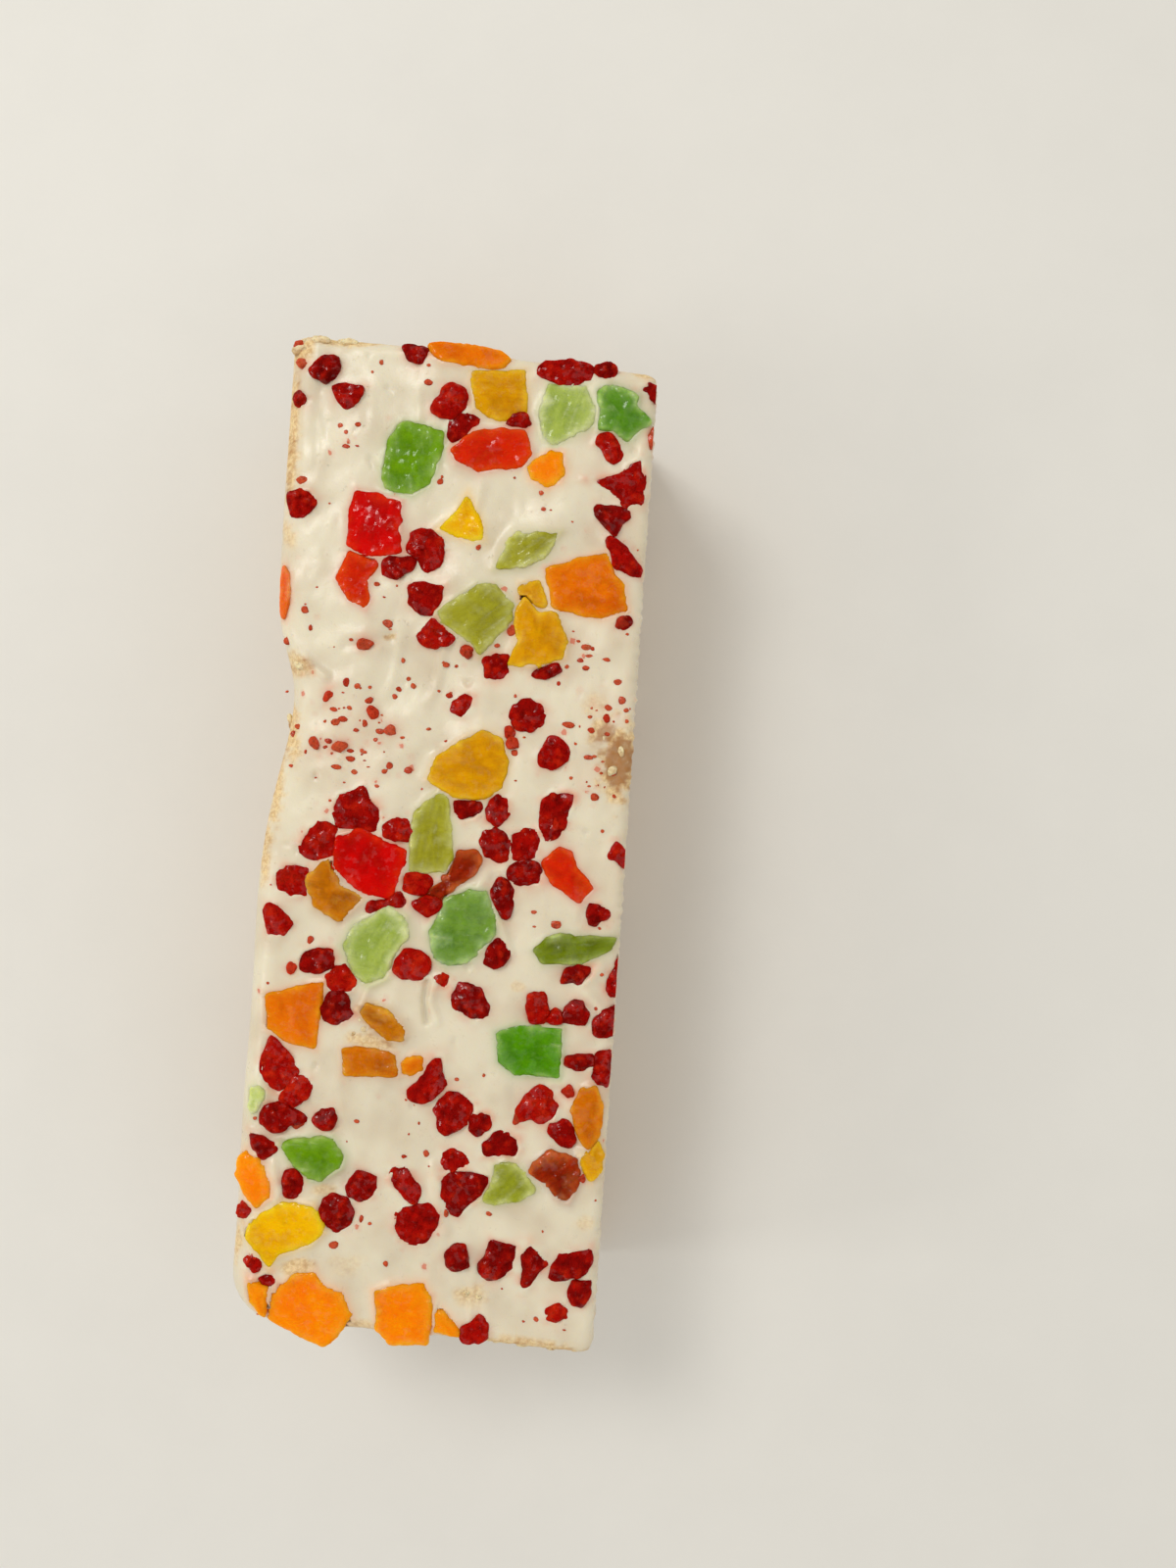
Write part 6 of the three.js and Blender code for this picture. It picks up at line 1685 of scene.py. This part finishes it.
def floor_material(colours):
    """Plain pale paper with a barely seen cloudiness and tooth."""
    material, nodes, place, shader = new_material("pale_floor")
    cloud = nodes.group("fine_grain", place, Size=0.02)["Value"]
    tooth = nodes.group("fine_grain", place, Size=2.0)["Value"]
    dim = [FLOOR_DIM * part for part in colours.floor]
    nodes.fill(shader, {
        "Base Color": nodes.mix(nodes.step(cloud, 0.35, 0.65), opaque(colours.floor), opaque(dim)),
        "Normal": nodes.bump(tooth, 0.15, 0.0001), "Roughness": nodes.step(tooth, 0.3, 0.7, 0.65, 0.8)})
    return material


# ---------- settings and operators


def length_setting(label, words, value):
    """A length in metres for the panel."""
    return bpy.props.FloatProperty(name=label, description=words, default=value, min=0.0, precision=6,
                                   subtype="DISTANCE", unit="LENGTH")


def colour_setting(label, words, value):
    """A colour for the panel."""
    return bpy.props.FloatVectorProperty(name=label, description=words, default=tuple(map(float, value)),
                                         size=3, min=0.0, max=1.0, subtype="COLOR")


class SachimaSizes(bpy.types.PropertyGroup):
    """Sizes of the fine forms that the bar's solids leave out."""

    ripple: length_setting("Ripple", "Height of the marshmallow's soft waves", 0.00023)
    meniscus: length_setting("Meniscus", "Rise of the marshmallow round fruit and crumbs", 0.00024)
    pebble: length_setting("Pebble", "Height of the pebbles on a berry crumb", 0.00017)
    softness: bpy.props.FloatProperty(name="Softness", description="Share of the fruit's edge rounding",
                                      default=1.0, min=0.2, max=2.0, subtype="FACTOR")


class SachimaColours(bpy.types.PropertyGroup):
    """Colours of the bar and the studio."""

    cream: colour_setting("Cream", "Thick marshmallow", CREAM)
    cream_shade: colour_setting("Thin cream", "Marshmallow where it is thin", CREAM_SHADE)
    blush: colour_setting("Blush", "Marshmallow stained by berry", CREAM_BLUSH)
    bare: colour_setting("Bare dough", "Dough that shows through", BARE_BROWN)
    dust: colour_setting("Dust", "Fine specks of berry", DUST_RED)
    floor: colour_setting("Floor", "The pale ground", linear((222, 219, 211)))


def finish_piece(piece, node):
    """Ties a piece to the frame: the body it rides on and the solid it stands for."""
    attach(piece, "root")
    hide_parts(node)


def add_floor(colours):
    """A square of paper on the ground."""
    corners = np.array(((-1, -1, 0), (1, -1, 0), (1, 1, 0), (-1, 1, 0))) * HALF_FLOOR
    make_object("floor", corners, [[0, 1, 2, 3]], floor_material(colours))


def add_camera(scene):
    """The camera, straight down, its distance counted from the marshmallow's level."""
    camera = bpy.data.objects.new("photo_camera", bpy.data.cameras.new("photo_camera"))
    camera.data.sensor_fit = "VERTICAL"
    camera.data.sensor_height = SENSOR
    camera.data.lens = LENS
    camera.data.clip_start = 0.01
    x, y = (CAMERA_OVER[k] - FOOTPRINT_MIDDLE[k] for k in range(2))
    camera.location = (x * MM, y * MM, (MALLOW_LEVEL + CAMERA_DISTANCE) * MM)
    camera.rotation_euler = (0, 0, math.radians(CAMERA_LEAN))
    scene.collection.objects.link(camera)
    scene.camera = camera


def add_lights(scene):
    """Soft square lights aimed at the bar, and an even light from all round."""
    for name, place, size, power, tint in STUDIO_LIGHTS:
        light = bpy.data.lights.new(name, "AREA")
        light.size, light.energy, light.color = size, power, tint
        lamp = bpy.data.objects.new(name, light)
        lamp.location = place
        lamp.rotation_euler = (-Vector(place)).to_track_quat("-Z", "Y").to_euler()
        scene.collection.objects.link(lamp)
    world = bpy.data.worlds.new("soft_room")
    world.use_nodes = True
    background = world.node_tree.nodes["Background"]
    background.inputs["Color"].default_value = opaque(ROOM_COLOUR)
    background.inputs["Strength"].default_value = ROOM_LIGHT
    scene.world = world


class SACHIMA_OT_stage(bpy.types.Operator):
    """Add the floor, the soft lights and the camera"""

    bl_idname = "sachima.stage"
    bl_label = "Stage"

    def execute(self, context):
        add_floor(context.scene.sachima_colours)
        add_camera(context.scene)
        add_lights(context.scene)
        context.scene.view_settings.view_transform = "Standard"
        return {"FINISHED"}


class SACHIMA_OT_marshmallow(bpy.types.Operator):
    """Pour the marshmallow over the dough"""

    bl_idname = "sachima.marshmallow"
    bl_label = "Marshmallow"

    def execute(self, context):
        material = marshmallow_material(context.scene.sachima_colours)
        piece = build_marshmallow(context.scene.sachima_sizes, context.scene.sachima_colours, material)
        finish_piece(piece, "marshmallow_top")
        return {"FINISHED"}


class SACHIMA_OT_dough(bpy.types.Operator):
    """Build the block of puffed dough strands and the torn bits on the pour"""

    bl_idname = "sachima.dough"
    bl_label = "Dough"

    def execute(self, context):
        material = dough_material()
        finish_piece(build_dough(material), "dough_block")
        finish_piece(build_bits(material), "dough_block")
        return {"FINISHED"}


class SACHIMA_OT_fruit(bpy.types.Operator):
    """Set the pieces of candied fruit"""

    bl_idname = "sachima.fruit"
    bl_label = "Candied fruit"

    def execute(self, context):
        materials = {name: candied_material(name, *facts) for name, facts in CANDIED.items()}
        for index, row in enumerate(FRUIT):
            piece = candied_piece(index, context.scene.sachima_sizes, materials)
            finish_piece(piece, row[0])
        return {"FINISHED"}


class SACHIMA_OT_crumbs(bpy.types.Operator):
    """Strew the berry crumbs and their dust"""

    bl_idname = "sachima.crumbs"
    bl_label = "Berry crumbs"

    def execute(self, context):
        material = crumb_material()
        sizes = context.scene.sachima_sizes
        outlines = crumb_outlines()
        large, small = outlines[:len(CRUMBS)], outlines[len(CRUMBS):]
        for piece in (build_crumbs("berry_crumbs", large, 1, sizes, material),
                      build_crumbs("small_berry_crumbs", small, 1 + SMALL_CRUMB_ITEMS, sizes, material),
                      build_dust(sizes, material)):
            finish_piece(piece, "marshmallow_top")
        return {"FINISHED"}


STEPS = (SACHIMA_OT_stage, SACHIMA_OT_dough, SACHIMA_OT_marshmallow, SACHIMA_OT_fruit, SACHIMA_OT_crumbs)


class SACHIMA_PT_panel(bpy.types.Panel):
    """Lists the sachima's steps, sizes and colours"""

    bl_idname = "SACHIMA_PT_panel"
    bl_label = "Sachima bar"
    bl_space_type = "VIEW_3D"
    bl_region_type = "UI"
    bl_category = "Sachima"

    def draw(self, context):
        for step in STEPS:
            self.layout.operator(step.bl_idname)
        for group in (context.scene.sachima_sizes, context.scene.sachima_colours):
            for name in group.bl_rna.properties.keys():
                if name not in ("rna_type", "name"):
                    self.layout.prop(group, name)


CLASSES = (SachimaSizes, SachimaColours) + STEPS + (SACHIMA_PT_panel,)


def register():
    """Makes the settings, the steps and the panel known to Blender."""
    for entry in CLASSES:
        bpy.utils.register_class(entry)
    bpy.types.Scene.sachima_sizes = bpy.props.PointerProperty(type=SachimaSizes)
    bpy.types.Scene.sachima_colours = bpy.props.PointerProperty(type=SachimaColours)


def unregister():
    """Takes back what register did."""
    del bpy.types.Scene.sachima_colours
    del bpy.types.Scene.sachima_sizes
    for entry in reversed(CLASSES):
        bpy.utils.unregister_class(entry)


def main():
    """Builds everything in order."""
    register()
    for step in STEPS:
        category, name = step.bl_idname.split(".")
        getattr(getattr(bpy.ops, category), name)()


if __name__ == "__main__":
    main()
